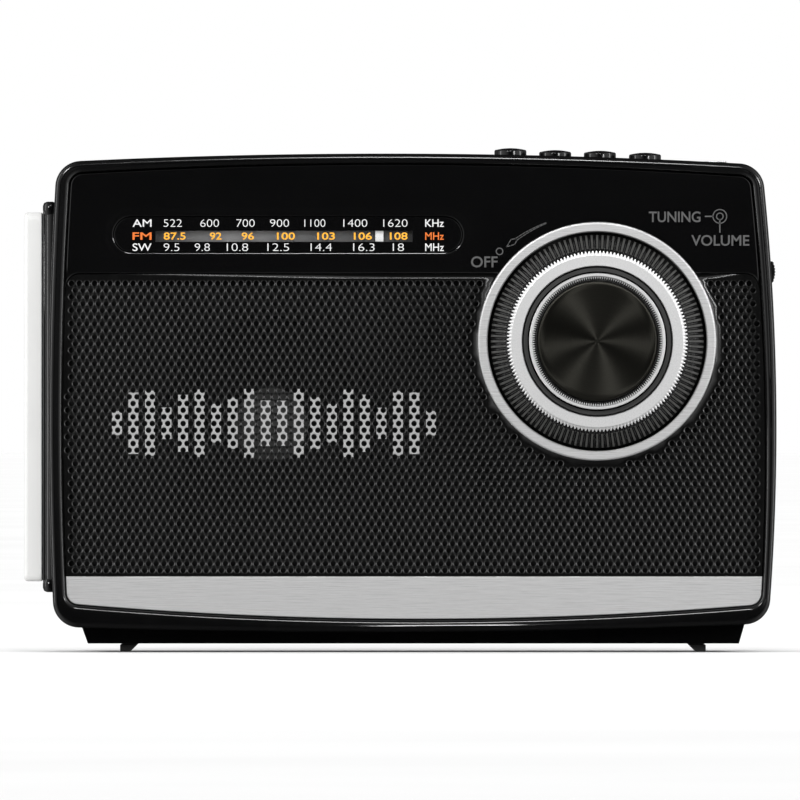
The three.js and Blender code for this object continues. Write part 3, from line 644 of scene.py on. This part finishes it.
WINDOW = (LENS_LOW.x - 0.3, LENS_HIGH.x + 0.3, LENS_LOW.z - 0.3, LENS_HIGH.z + 0.3)


def fascia():
    shape = Shape()
    shape.plate(fascia_outline(), [stadium(*WINDOW)], FASCIA_LOW.y, FASCIA_HIGH.y, 0.35)
    # A soft raised lip round the dial window.
    lip = []
    for reach, rise in ((0.1, 0), (0.25, 0.06), (0.6, 0.1), (1.2, 0.08), (2.2, 0.02), (2.7, -0.05),
                        (2.5, -0.3), (0.4, -0.3)):
        lip.append([(x, FASCIA_LOW.y - rise, z) for x, z in offset(stadium(*WINDOW), reach)])
    return shape.loft(lip, across=True)


piece("fascia", fascia(), [GLOSS], replaces=["upper_panel"])

HOLE_PITCH = 2.352
ROW_PITCH = HOLE_PITCH * math.sqrt(3) / 2
HOLE_RADIUS = 0.86
HOLE_EDGE = 0.27
HOLE_DEPTH = 0.2      # of the rounded edge


def grille_outline():
    top, bottom, radius = GRILLE_HIGH.z, GRILLE_LOW.z, GRILLE_CORNER
    points = clip(clip(bulged(OPENING, 0.35), top, False), bottom, True)
    points = start_after(points, top, False)
    right, left = points[-1][0], points[0][0]
    corner_right = [(right - radius * a, top - radius * b) for a, b in quarter(8)]
    corner_left = [(left + (right - x), z) for x, z in reversed(corner_right)]
    below = [p for p in points[1:-1] if p[1] < top - radius]
    return below + corner_right + list(reversed(dial_arc(top, CUTOUT, False))) + corner_left


def grille():
    """A perforated sheet: every hole is a real one with a rounded edge, on a hexagonal grid."""
    shape = Shape()
    front, back = GRILLE_LOW.y, GRILLE_HIGH.y
    outer = grille_outline()
    MARGIN = 1.3
    BLANK = 38.6         # no holes nearer the dial's centre than this
    edge = offset(outer, -MARGIN)
    columns = int((GRILLE_HIGH.x - GRILLE_LOW.x) / HOLE_PITCH)
    rows = int((GRILLE_HIGH.z - GRILLE_LOW.z) / ROW_PITCH)
    middle = (GRILLE_LOW.x + GRILLE_HIGH.x) / 2
    centres = []
    for row in range(rows + 1):
        z = GRILLE_LOW.z + 1.6 + row * ROW_PITCH
        for column in range(-columns // 2, columns // 2 + 1):
            x = middle + (column + 0.5 * (row % 2)) * HOLE_PITCH
            if math.hypot(x - DIAL.x, z - DIAL.z) > BLANK and inside((x, z), edge):
                centres.append((x, z))
    index, flat = {}, []

    def shared(x, z):
        key = (round(x, 3), round(z, 3))
        if key not in index:
            index[key] = len(flat)
            flat.append((x, z))
        return index[key]

    SIDES = 12
    corner, mid = HOLE_PITCH / math.sqrt(3), HOLE_PITCH / 2
    turns = [(math.cos(TAU * k / SIDES), math.sin(TAU * k / SIDES)) for k in range(SIDES)]
    cells = []
    for x, z in centres:
        cells.append([shared(x + c * (corner if k % 2 else mid), z + s * (corner if k % 2 else mid))
                      for k, (c, s) in enumerate(turns)])
    seen = {}
    for cell in cells:
        for k in range(SIDES):
            pair = (cell[k], cell[(k + 1) % SIDES])
            key = (min(pair), max(pair))
            seen[key] = seen.get(key, 0) + 1
    count = len(flat)
    points = [(x, front, z) for x, z in flat] + [(x, back, z) for x, z in flat]
    faces = []
    levels = ((HOLE_RADIUS + HOLE_EDGE, front), (HOLE_RADIUS, front + HOLE_DEPTH), (HOLE_RADIUS, back))
    for (x, z), cell in zip(centres, cells):
        base = len(points)
        for radius, y in levels:
            points += [(x + radius * c, y, z + radius * s) for c, s in turns]
        for k in range(SIDES):
            j = (k + 1) % SIDES
            down = [(cell[k], cell[j])]
            down += [(base + level * SIDES + k, base + level * SIDES + j) for level in range(3)]
            down.append((count + cell[k], count + cell[j]))
            faces += [(a, b, d, c) for (a, b), (c, d) in zip(down, down[1:])]
    # The plain margin between the outline and the outermost cells, on both faces.
    used = {}
    boundary = [pair for pair, times in seen.items() if times == 1]
    loose = []
    for pair in boundary:
        for i in pair:
            if i not in used:
                used[i] = len(loose)
                loose.append(flat[i])
    edges = [(i, (i + 1) % len(outer)) for i in range(len(outer))]
    edges += [(len(outer) + used[a], len(outer) + used[b]) for a, b in boundary]
    coords = [Vector(p) for p in list(outer) + loose]
    verts, _, tris, _, _, _ = delaunay_2d_cdt(coords, edges, [list(range(len(outer)))], 1, 1e-6)
    lookup = {}
    for x, z in centres:
        lookup.setdefault((round(x / 4), round(z / 4)), []).append((x, z))
    kept = []
    for tri in tris:
        point = sum((verts[i] for i in tri), Vector((0, 0))) / len(tri)
        near = [c for dx in (-1, 0, 1) for dz in (-1, 0, 1)
                for c in lookup.get((round(point.x / 4) + dx, round(point.y / 4) + dz), [])]
        if not any(in_hexagon(point.x - x, point.y - z, mid) for x, z in near):
            kept.append(tuple(tri))
    for y in (front, back):
        shape.add([(v.x, y, v.y) for v in verts], kept)
    shape.loft([[(x, y, z) for x, z in outer] for y in (front, back)], caps=False)
    return shape.add(points, faces)


def in_hexagon(dx, dz, half):
    """Whether a point lies in a hexagon that stands on its corner, half wide to its sides."""
    slant = half * 2 / math.sqrt(3)
    return abs(dx) < half and abs(dx) * 0.5 + abs(dz) * math.sqrt(3) / 2 < slant * math.sqrt(3) / 2


piece("perforated_grille", grille(), [PAINTED], replaces=["grille_plate"], sharp=50)


def trim_bar():
    points = clip(bulged(OPENING, 0.2), TRIM_HIGH.z, False)
    return Shape().plate(points, [], TRIM_LOW.y, TRIM_HIGH.y, 0.25)


piece("brushed_trim_bar", trim_bar(), [BRUSHED], replaces=["trim_bar"])


# ------------ slide-rule dial
def scale_window():
    """The stadium window: printed black behind, with a clear strip for the pointer."""
    left, right, bottom, top = STRIP
    outline = stadium(LENS_LOW.x, LENS_HIGH.x, LENS_LOW.z, LENS_HIGH.z)
    strip = rounded(left, right, bottom, top, 0.25)
    shape = Shape()
    shape.plate(outline, [strip], LENS_LOW.y, LENS_HIGH.y, 0.15)
    clear = offset(strip, -0.02)
    shape.plate(clear, [], LENS_LOW.y + 0.12, LENS_LOW.y + 0.5, 0.03, paint=1)
    return shape


piece("scale_window", scale_window(), [PRINT_BLACK, CLEAR], replaces=["scale_lens"])


def words(shape, text, left, right, bottom, top, front, thick, weight=0.0):
    """Adds generic letters or digits, fitted to a box in X and Z, raised towards the viewer."""
    curve = bpy.data.curves.new("letters", "FONT")
    curve.body = text
    curve.extrude = 0.5
    curve.offset = weight
    curve.resolution_u = 5
    made = bpy.data.objects.new("letters", curve)
    bpy.context.scene.collection.objects.link(made)
    bpy.context.view_layer.update()
    mesh = bpy.data.meshes.new_from_object(made.evaluated_get(bpy.context.evaluated_depsgraph_get()))
    xs = [v.co.x for v in mesh.vertices]
    zs = [v.co.y for v in mesh.vertices]
    x0, z0 = min(xs), min(zs)
    wide, tall = (right - left) / (max(xs) - x0), (top - bottom) / (max(zs) - z0)
    points = []
    for v in mesh.vertices:
        y = front - thick if v.co.z > 0 else front
        points.append((left + (v.co.x - x0) * wide, y, bottom + (v.co.y - z0) * tall))
    shape.add(points, [tuple(p.vertices) for p in mesh.polygons])
    bpy.data.objects.remove(made)
    bpy.data.meshes.remove(mesh)
    bpy.data.curves.remove(curve)


AM_ROW, FM_ROW, SW_ROW = (130.0, 132.3), (126.05, 128.3), (122.6, 124.95)
BAND_NAMES, UNITS = (-81.7, -75.9), (7.7, 13.4)
AM_MARKS = (("522", -72.2, -66.6), ("600", -61, -55.3), ("700", -50, -44.4), ("900", -39.7, -33.9),
            ("1100", -29.2, -22.8), ("1400", -17.3, -10), ("1620", -5.1, 2.3))
FM_MARKS = (("87.5", -72.2, -65.5), ("92", -58.1, -54.5), ("96", -48.4, -44.6), ("100", -37.6, -32.1),
            ("103", -25.3, -19.9), ("106", -14.1, -8.6), ("108", -3.1, 2.3))
SW_MARKS = (("9.5", -72.2, -67.4), ("9.8", -62.7, -58.1), ("10.8", -52.9, -46.4), ("12.5", -40.5, -33.9),
            ("14.4", -27.3, -20.8), ("16.3", -14.3, -7.8), ("18", -2.2, 1.2))


def scale_print():
    front, thick, weight = LENS_LOW.y, 0.04, -0.014
    white, orange, amber = Shape(), Shape(), Shape()
    for marks, (bottom, top) in ((AM_MARKS, AM_ROW), (SW_MARKS, SW_ROW)):
        for text, left, right in marks:
            words(white, text, left, right, bottom, top, front, thick, weight)
    words(white, "AM", *BAND_NAMES, *AM_ROW, front, thick, 0.004)
    words(white, "SW", *BAND_NAMES, *SW_ROW, front, thick, 0.004)
    words(white, "KHz", *UNITS, *AM_ROW, front, thick, 0.006)
    words(white, "MHz", *UNITS, *SW_ROW, front, thick, 0.006)
    words(orange, "FM", *BAND_NAMES, *FM_ROW, front, thick, 0.014)
    words(orange, "MHz", *UNITS, *FM_ROW, front, thick, 0.008)
    for text, left, right in FM_MARKS:
        words(amber, text, left, right, *FM_ROW, front + 0.12, thick, 0.014)
    piece("scale_print_white", white, [WHITE_INK])
    piece("scale_print_orange", orange, [ORANGE_INK])
    piece("scale_print_amber", amber, [AMBER_INK])


scale_print()


def panel_marks():
    """Raised generic marks: the names of the controls, the off mark and its arrow."""
    front, thick = FASCIA_LOW.y, 0.14
    shape = Shape()
    words(shape, "OFF", 21.7, 29.8, 117.6, 121.0, front, thick, 0.014)
    words(shape, "TUNING", 76.0, 91.8, 131.4, 134.7, front, thick, 0.014)
    words(shape, "VOLUME", 89.0, 106.7, 124.2, 127.5, front, thick, 0.014)

    def wire(points, half=0.14):
        for (x0, z0), (x1, z1) in zip(points, points[1:]):
            along = Vector((x1 - x0, z1 - z0)).normalized() * half
            side = Vector((-along.y, along.x))
            start, end = Vector((x0, z0)) - along, Vector((x1, z1)) + along
            corners = [start - side, end - side, end + side, start + side]
            shape.loft([[(c.x, y, c.y) for c in corners] for y in (front, front - thick)])

    def hoop(x, z, radius, half=0.16):
        loops = []
        for reach, y in ((-half, front), (-half, front - thick), (half, front - thick), (half, front)):
            loops.append([(px, y, pz) for px, pz in circle(x, z, radius + reach, 32)])
        shape.loft(loops, across=True)

    hoop(30.4, 122.5, 1.0)
    TIP, TAIL, BEND = Vector((32.6, 123.9)), Vector((44.7, 131.2)), Vector((38.2, 128.6))
    shares = [k / 12 for k in range(13)]
    spine = [TIP * (1 - t) ** 2 + BEND * 2 * t * (1 - t) + TAIL * t ** 2 for t in shares]
    upper, lower = [], []
    for k, point in enumerate(spine):
        ahead = spine[min(k + 1, 12)] - spine[max(k - 1, 0)]
        side = Vector((-ahead.y, ahead.x)).normalized()
        half = 0.42 * (1 - 0.75 * k / 12) if k > 2 else (0.95 * k / 2)
        upper.append(tuple(point + side * half))
        lower.append(tuple(point - side * half))
    wire(upper + lower[::-1] + [upper[0]], 0.14)
    wire([(93.3, 133.2), (95.5, 133.2)], 0.2)
    hoop(97.7, 133.2, 2.1)
    hoop(97.7, 133.2, 1.0)
    wire([(97.7, 132.2), (97.7, 128.4)], 0.2)
    piece("control_marks", shape, [GREY_INK])


panel_marks()


def scale_backing():
    low, high = mm_box("scale_backing")
    return Shape().plate(rounded(low.x, high.x, low.z, high.z, 0.6), [], low.y, high.y, 0.15)


piece("scale_backing_strip", scale_backing(), [BACKING], replaces=["scale_backing"])
refined("tuning_pointer", [POINTER_WHITE], "pointer", 0.12)


# ------------ two-part dial
def tooth(count):
    """Rounded teeth round a rim, as a number from -1 to 1 for a share of a turn."""
    def wave(turn):
        value = math.cos(TAU * count * turn)
        return math.copysign(abs(value) ** 0.7, value)
    return wave


def ridge(count):
    """Narrow rounded ridges with wider valleys between them, as a number from -1 to 1."""
    def wave(turn):
        return 2 * min(max(0.95 * math.cos(TAU * count * turn) + 0.65, 0), 1) - 1
    return wave


def dial_ring():
    inner, outer = 33.4, (RING_HIGH.x - RING_LOW.x) / 2
    front, back = RING_LOW.y, FASCIA_LOW.y - 0.3
    profile = [(inner, RING_HIGH.y), (inner, front + 0.5), (inner + 0.12, front + 0.15),
               (inner + 0.4, front), (outer - 0.6, front), (outer - 0.2, front + 0.12),
               (outer, front + 0.5), (outer, back),
               (inner + 1, back), (inner + 1, RING_HIGH.y)]
    return Shape().turned(profile, DIAL_XZ, 240, closed=True)


def tuning_skirt():
    """The black skirt: a ribbed cone, a plain foot, and the hollow inside."""
    RIBS, PER_RIB = 120, 10
    WEB_FRONT, WEB_BACK, HOLLOW = -30.2, -28, -26.6      # depths of the web that joins hub and skirt
    low, high = mm_box("tuning_knob")
    front = low.y + 0.9
    base = (high.x - low.x) / 2
    cone = [(27.75, front + 0.1, 0.02), (28.0, front + 0.35, 0.3), (29.0, front + 2.2, 0.42),
            (30.5, front + 4.9, 0.45), (31.9, front + 7.5, 0.45), (32.2, front + 8.1, 0.3),
            (32.5, front + 8.6)]
    profile = [(21.1, WEB_FRONT), (21.1, low.y + 0.25), (21.3, low.y), (22.4, low.y),
               (22.6, low.y + 0.2), (22.6, front), (27.6, front)]
    profile += cone
    profile += [(base, high.y - 0.3), (base - 0.3, high.y), (base - 1.8, high.y), (base - 1.8, HOLLOW),
                (26.6, WEB_BACK), (8, WEB_BACK), (8, high.y), (4.8, high.y), (4.8, WEB_FRONT)]
    shape = Shape().turned(profile, DIAL_XZ, RIBS * PER_RIB, ridge(RIBS), closed=True)
    lip = profile.index((21.3, low.y))
    for step in range(RIBS * PER_RIB):
        shape.paint[lip * RIBS * PER_RIB + step] = 2
    # Painted highlight: the faces at each rib's crest on the cone take the lighter grey.
    first = profile.index(cone[1])
    for row in range(first, first + len(cone) - 3):
        for rib in range(RIBS):
            for step in (PER_RIB - 2, PER_RIB - 1, 0, 1):
                shape.paint[row * RIBS * PER_RIB + rib * PER_RIB + step] = 1
    return shape


def tuning_trim():
    """The aluminium ring on the tuning knob: a satin face with a serrated outer edge."""
    TEETH, PER_TOOTH = 155, 6
    low, high = mm_box("tuning_knob_trim")
    front, back = low.y, high.y
    profile = [(22.95, back), (22.95, front + 0.2), (23.15, front), (26.2, front),
               (26.35, front + 0.04), (26.75, front + 0.14, 0.26), (27.25, front + 0.3, 0.4),
               (27.25, back, 0.4), (26.3, back)]
    return Shape().turned(profile, DIAL_XZ, TEETH * PER_TOOTH, tooth(TEETH), closed=True)


def volume_knob():
    """The inner knob: a bright chamfered lip round a knurled well that holds the spun cap."""
    TEETH, PER_TOOTH = 175, 6
    WEB_FRONT, WEB_BACK = -36, -34
    low, high = mm_box("volume_knob")
    front = low.y
    shape = Shape()
    lip = [(19.35, front + 1.2, 0.4), (19.35, front + 0.42, 0.4), (19.5, front + 0.3, 0.34),
           (19.8, front + 0.2), (19.95, front), (20.65, front),
           (20.8, front + 0.15), (20.8, front + 1.6), (19.8, front + 1.6)]
    shape.turned(lip, DIAL_XZ, TEETH * PER_TOOTH, tooth(TEETH), paint=1, closed=True)
    body = [(18.55, front + 1.2), (18.6, front + 1.0), (18.85, front + 1.1), (19.9, front + 1.1),
            (19.9, front + 1.75), (20.75, front + 1.75), (20.8, high.y - 0.8), (20.5, high.y - 0.6),
            (19, high.y - 0.6), (19, WEB_BACK), (7, WEB_BACK), (7, high.y), (3.3, high.y),
            (3.3, WEB_FRONT), (3.3, WEB_FRONT - 0.2), (18, WEB_FRONT - 0.4), (18.3, front + 1.2)]
    shape.turned(body, DIAL_XZ, TEETH * PER_TOOTH, tooth(TEETH), closed=True)
    return shape


def volume_cap():
    low, high = mm_box("volume_knob_cap")
    edge = (high.x - low.x) / 2
    profile = [(0.15, low.y + 0.42)]
    for k in range(1, 13):
        share = k / 12
        profile.append((share * (edge - 0.9), low.y + 0.42 * (1 - share ** 2)))
    profile += [(edge - 0.5, low.y + 0.03), (edge - 0.15, low.y + 0.15), (edge, low.y + 0.4),
                (edge, high.y)]
    return Shape().turned(profile, DIAL_XZ, 256)


piece("dial_trim_ring", dial_ring(), [BRUSHED], replaces=["dial_ring"])
piece("tuning_knob_skirt", tuning_skirt(), [KNOB, RIB_HIGHLIGHT, KNOB_GREY], "tuning_dial",
      ["tuning_knob"], sharp=40)
piece("tuning_trim_ring", tuning_trim(), [SATIN_RING], "tuning_dial",
      ["tuning_knob_trim"], sharp=45)
piece("volume_knob_body", volume_knob(), [KNOB, SATIN_RING], "volume_dial",
      ["volume_knob"], sharp=45)
piece("volume_spun_cap", volume_cap(), [SPUN_DARK], "volume_dial", ["volume_knob_cap"])


# ------------ push keys
def push_key(index):
    low, high = mm_box("push_button_%d" % index)
    centre = ((low.x + high.x) / 2, (low.y + high.y) / 2)
    radius = (high.x - low.x) / 2
    EDGE, CROWN = 0.55, 0.5
    profile = [(2.4, low.z), (2.4, low.z + 1.9), (radius - 0.3, low.z + 1.9), (radius, low.z + 2.2),
               (radius, high.z - CROWN - EDGE)]
    profile += [(radius - EDGE * a, high.z - CROWN - EDGE * b) for a, b in quarter(8)[1:]]
    for k in range(1, 9):
        share = 1 - k / 8
        profile.append((max(share * (radius - EDGE), 0.1), high.z - CROWN * share ** 2))
    loops = []
    for reach, z in profile:
        loops.append([(x, y, z) for x, y in circle(*centre, reach, 48)])
    shape = Shape().loft(loops)
    piece("key_cap_%d" % index, shape, [RIM_GLOSS], "button_%d" % index,
          ["push_button_%d" % index])


for number in range(1, 5):
    push_key(number)


# ------------ side lamp
def tablet(x0, x1, y0, y1, z0, z1, corner, edge):
    """A rounded tablet standing in Y and Z whose outer face, at x0, has softened edges."""
    BACK_EDGE = 0.3
    outline = rounded(y0, y1, z0, z1, corner, 8)
    loops = [[(x1, y, z) for y, z in offset(outline, -BACK_EDGE)]]
    loops.append([(x1 - BACK_EDGE, y, z) for y, z in outline])
    for inward, back in quarter(5):
        loops.append([(x0 + edge * back, y, z) for y, z in offset(outline, -edge * inward)])
    return loops


def lamp():
    low, high = mm_box("lamp_diffuser")
    loops = tablet(low.x, high.x, low.y, high.y, low.z, high.z, 2.2, 1.1)
    hollow = tablet(low.x + 1.8, high.x, low.y + 1.8, high.y - 1.8, low.z + 1.8, high.z - 1.8, 1.6, 0.6)
    shape = Shape()
    for skin in (loops, hollow):
        shape.loft(skin, caps=False)
        shape.add(skin[-1], [tuple(range(len(skin[0])))])
    shape.loft([loops[0], hollow[0]], caps=False)
    piece("lamp_diffuser_shell", shape, [WHITE], replaces=["lamp_diffuser"])


lamp()


def lamp_base():
    """The black carrier: a scooped middle between two closed end caps, with the diffuser's seat."""
    low, high = mm_box("lamp_base")
    seat = mm_box("lamp_diffuser")
    shape = Shape()
    CAP = 4.2
    for z0, z1, corner in ((low.z, low.z + CAP, 1.3), (high.z - CAP, high.z, 1.3)):
        shape.block((low.x, low.y, z0), (high.x, high.y, z1), corner)
    loops = []
    front = [(low.x + 0.35, low.y + 3.6), (low.x + 0.5, low.y + 2.4), (low.x + 0.95, low.y + 1.4),
             (low.x + 1.7, low.y + 0.75), (low.x + 2.7, low.y + 0.45), (high.x, low.y + 0.4)]
    outline = front + [(high.x, high.y - 0.4), (low.x + 1.2, high.y - 0.4), (low.x + 0.35, high.y - 1.4)]
    for z in (low.z + CAP - 1.5, high.z - CAP + 1.5):
        loops.append([(x, y, z) for x, y in outline])
    shape.loft(loops)
    SEAT, DEEP = 0.4, 1.2
    shape.block((low.x, seat[0].y - SEAT, seat[0].z - SEAT),
                (low.x + DEEP, seat[1].y + SEAT, seat[1].z + SEAT), 0.3)
    piece("lamp_base_shell", shape, [RIM_GLOSS], replaces=["lamp_base"], sharp=40)


lamp_base()
refined("lamp_led_board", [BOARD], bevel=0.1)


# ------------ cabinet back, base and the rest
CABINET_PIECES = (
    (SATIN, "satin_black", 0.7, "rear_case"),
    (RIM_GLOSS, "satin_black", 0.9, "base_plinth"),
    (RUBBER, "foot_rubber", 0.35,
     "foot_front_left", "foot_front_right", "foot_back_left", "foot_back_right"),
    (SATIN, "satin_black", 0.3, "mains_inlet"),
    (PLATED, "plated_steel", 0.2, "usb_socket", "speaker_basket"),
    (CARD, "speaker_card", 0.1, "speaker_cone"),
    (DUST_CAP, "speaker_card", 0.3, "speaker_dust_cap"),
    (FERRITE, "ferrite", 0.5, "speaker_magnet"),
    (PLATED, "plated_steel", 0.4, "tuning_capacitor"),
    (PLATED, "plated_steel", 0.3, "volume_pot"),
    (BOARD, "circuit_board", 0.1, "main_board", "button_board"),
    (FERRITE, "ferrite", 0.3, "ferrite_rod"),
    (COPPER, "copper_wire", 0.1, "ferrite_coil"),
    (PLATED, "plated_steel", 0.2, "band_switch"),
    (PLATED, "plated_steel", 0.1, "battery_contact"),
    (SLEEVE, "cell_sleeve", 0.5, *("battery_cell_%d" % k for k in (1, 2, 3))),
    (PLATED, "plated_steel", 0.2, *("case_screw_%d" % k for k in (1, 2, 3, 4))),
)
for material, slot, bevel, *names in CABINET_PIECES:
    for node in names:
        refined(node, [material], "cabinet", bevel)
refined("battery_door", [SATIN], "battery_door", 0.5)


def band_slider():
    """A convex slider with finger ridges across it, and its stem into the band switch."""
    low, high = mm_box("band_slider")
    RIDGES, PER_RIDGE = 7, 8
    count = RIDGES * PER_RIDGE
    middle, half = (low.z + high.z) / 2, (high.z - low.z) / 2
    y0, y1 = low.y + 0.05, high.y - 0.05
    outline = [(high.x - 2.2, low.z + 0.05)]
    for k in range(count + 1):
        share = 2 * k / count - 1
        dip = 0.22 * (1 + math.cos(TAU * RIDGES * k / count)) / 2
        outline.append((high.x - 0.06 - 0.7 * share ** 2 - dip, middle + share * (half - 0.05)))
    outline.append((high.x - 2.2, high.z - 0.05))
    centre_x = high.x - 1.3
    loops = []
    for y, shrink in ((y0, 0.25), (y0 + 0.35, 0.0), (y1 - 0.35, 0.0), (y1, 0.25)):
        loops.append([(x - (x - centre_x) * shrink, y, z - (z - middle) * shrink * 0.3)
                      for x, z in outline])
    shape = Shape().loft(loops)
    stem_y = (low.y + high.y) / 2
    shape.block((low.x + 0.05, stem_y - 1.5, middle - 1.5), (high.x - 2.0, stem_y + 1.5, middle + 1.5), 0.3)
    piece("band_slider_grip", shape, [KNOB], "band_selector", ["band_slider"], sharp=40)


band_slider()
refined("carrying_handle", [SATIN], "handle", 0.8, 4)
refined("aerial_base", [CHROME], "aerial_base", 0.3)
refined("aerial_tube_lower", [CHROME], "aerial_lower", 0.15)
refined("aerial_tube_middle", [CHROME], "aerial_middle", 0.1)
refined("aerial_tip_rod", [CHROME], "aerial_tip", 0.2)
refined("pulley_left", [BRASS], "pulley_left", 0.1)
refined("pulley_right", [BRASS], "pulley_right", 0.1)
refined("tuning_shaft", [BRASS], "tuning_dial", 0.2)
refined("cord_drum", [SATIN], "tuning_dial", 0.2)
refined("volume_shaft", [PLATED], "volume_dial", 0.2)

# Thin wires keep their CAD mesh and take a finish.
for node, material in (("dial_cord", CORD), ("battery_spring", PLATED)):
    thing = frame["nodes"][node]
    thing.data.materials.clear()
    thing.data.materials.append(material)
    thing.data.shade_smooth()


# ------------ stage, light and camera
def area_light(name, place, width, height, power):
    """A rectangular lamp that faces the middle of the receiver."""
    aim = Vector((0, 0, 0.08))
    light = bpy.data.lights.new(name, "AREA")
    light.shape = "RECTANGLE"
    light.size, light.size_y = width, height
    light.energy = power
    thing = bpy.data.objects.new(name, light)
    thing.location = place
    thing.rotation_euler = (aim - Vector(place)).to_track_quat("-Z", "Y").to_euler()
    bpy.context.scene.collection.objects.link(thing)


SKY = 1.15          # light on matt surfaces
REFLECTED = 1.6     # light seen in shiny ones


def stage():
    HALF, NEAR, FAR = 14, -5, 30
    material, tree, shader = nodes_of("pale_floor")
    pale = ramp(tree, grain(tree, 3, detail=2), between(0.86, 0.9))
    feed(shader, {"Base Color": pale, "Roughness": 0.9, "Specular IOR Level": 0.1})
    mesh = bpy.data.meshes.new("floor")
    corners = [(-HALF, NEAR, 0), (HALF, NEAR, 0), (HALF, FAR, 0), (-HALF, FAR, 0)]
    mesh.from_pydata(corners, [], [(0, 1, 2, 3)])
    floor = bpy.data.objects.new("floor", mesh)
    mesh.materials.append(material)
    bpy.context.scene.collection.objects.link(floor)
    floor.visible_glossy = False


def world():
    """Soft white light all round, with a dark card in front that only reflections see."""
    sky = bpy.data.worlds.new("studio")
    bpy.context.scene.world = sky
    sky.use_nodes = True
    tree = sky.node_tree
    tree.nodes.clear()
    toward = add_node(tree, "TexCoord").outputs["Generated"]
    place = add_node(tree, "SeparateXYZ", {"Vector": toward}).outputs
    facing = add_node(tree, "MapRange", {"From Min": 1, "From Max": -1, "Value": place["Y"]})
    card = ramp(tree, facing.outputs["Result"],
                [(0.0, 0.12), (0.4, 0.2), (0.5, 0.7), (0.75, 0.7), (0.97, 0.6), (0.994, 0.008)])
    lift = ramp(tree, maths(tree, "ABSOLUTE", place["X"]), [(0.0, 0.06), (0.4, 0.35), (0.8, 0.95)])

    def background(colour, strength):
        return add_node(tree, "Background", {"Color": colour, "Strength": strength}).outputs["Background"]

    def chosen(ray, without, with_it):
        kind = add_node(tree, "LightPath").outputs[ray]
        return add_node(tree, "MixShader", {"Fac": kind, 1: without, 2: with_it}).outputs["Shader"]

    white = (1, 1, 1, 1)
    reflected = background(mixed(tree, 1, card, lift, "MULTIPLY"), REFLECTED)
    unseen = chosen("Is Glossy Ray", background(white, SKY), reflected)
    add_node(tree, "OutputWorld", {"Surface": chosen("Is Camera Ray", unseen, background(white, 1))})


def camera():
    DISTANCE, SENSOR = 8.0, 36.0
    FRAME_WIDTH = 0.24435    # what the picture spans at the rim's depth
    low, high = cad_box
    data = bpy.data.cameras.new("camera")
    data.sensor_width = SENSOR
    data.lens = SENSOR * DISTANCE / FRAME_WIDTH
    data.clip_start, data.clip_end = 0.5, 100
    view = bpy.data.objects.new("camera", data)
    view.location = (0, CASE_LOW.y * MM - DISTANCE, (low[2] + high[2]) / 2)
    view.rotation_euler = (math.pi / 2, 0, 0)
    bpy.context.scene.collection.objects.link(view)
    bpy.context.scene.camera = view


stage()
world()
area_light("key_top", (0.05, -1.39, 0.9), 0.2, 0.2, 4.5)
area_light("key_left", (-0.57, -1.39, 0.67), 0.2, 0.2, 4.5)
area_light("key_right", (0.74, -1.39, 0.4), 0.2, 0.2, 4)
for side, power in ((-1, 2.4), (1, 2.8)):
    area_light("side_strip", (1.2 * side, -0.32, 0.35), 0.12, 1.0, power)
camera()
bpy.context.scene.view_settings.view_transform = "Standard"
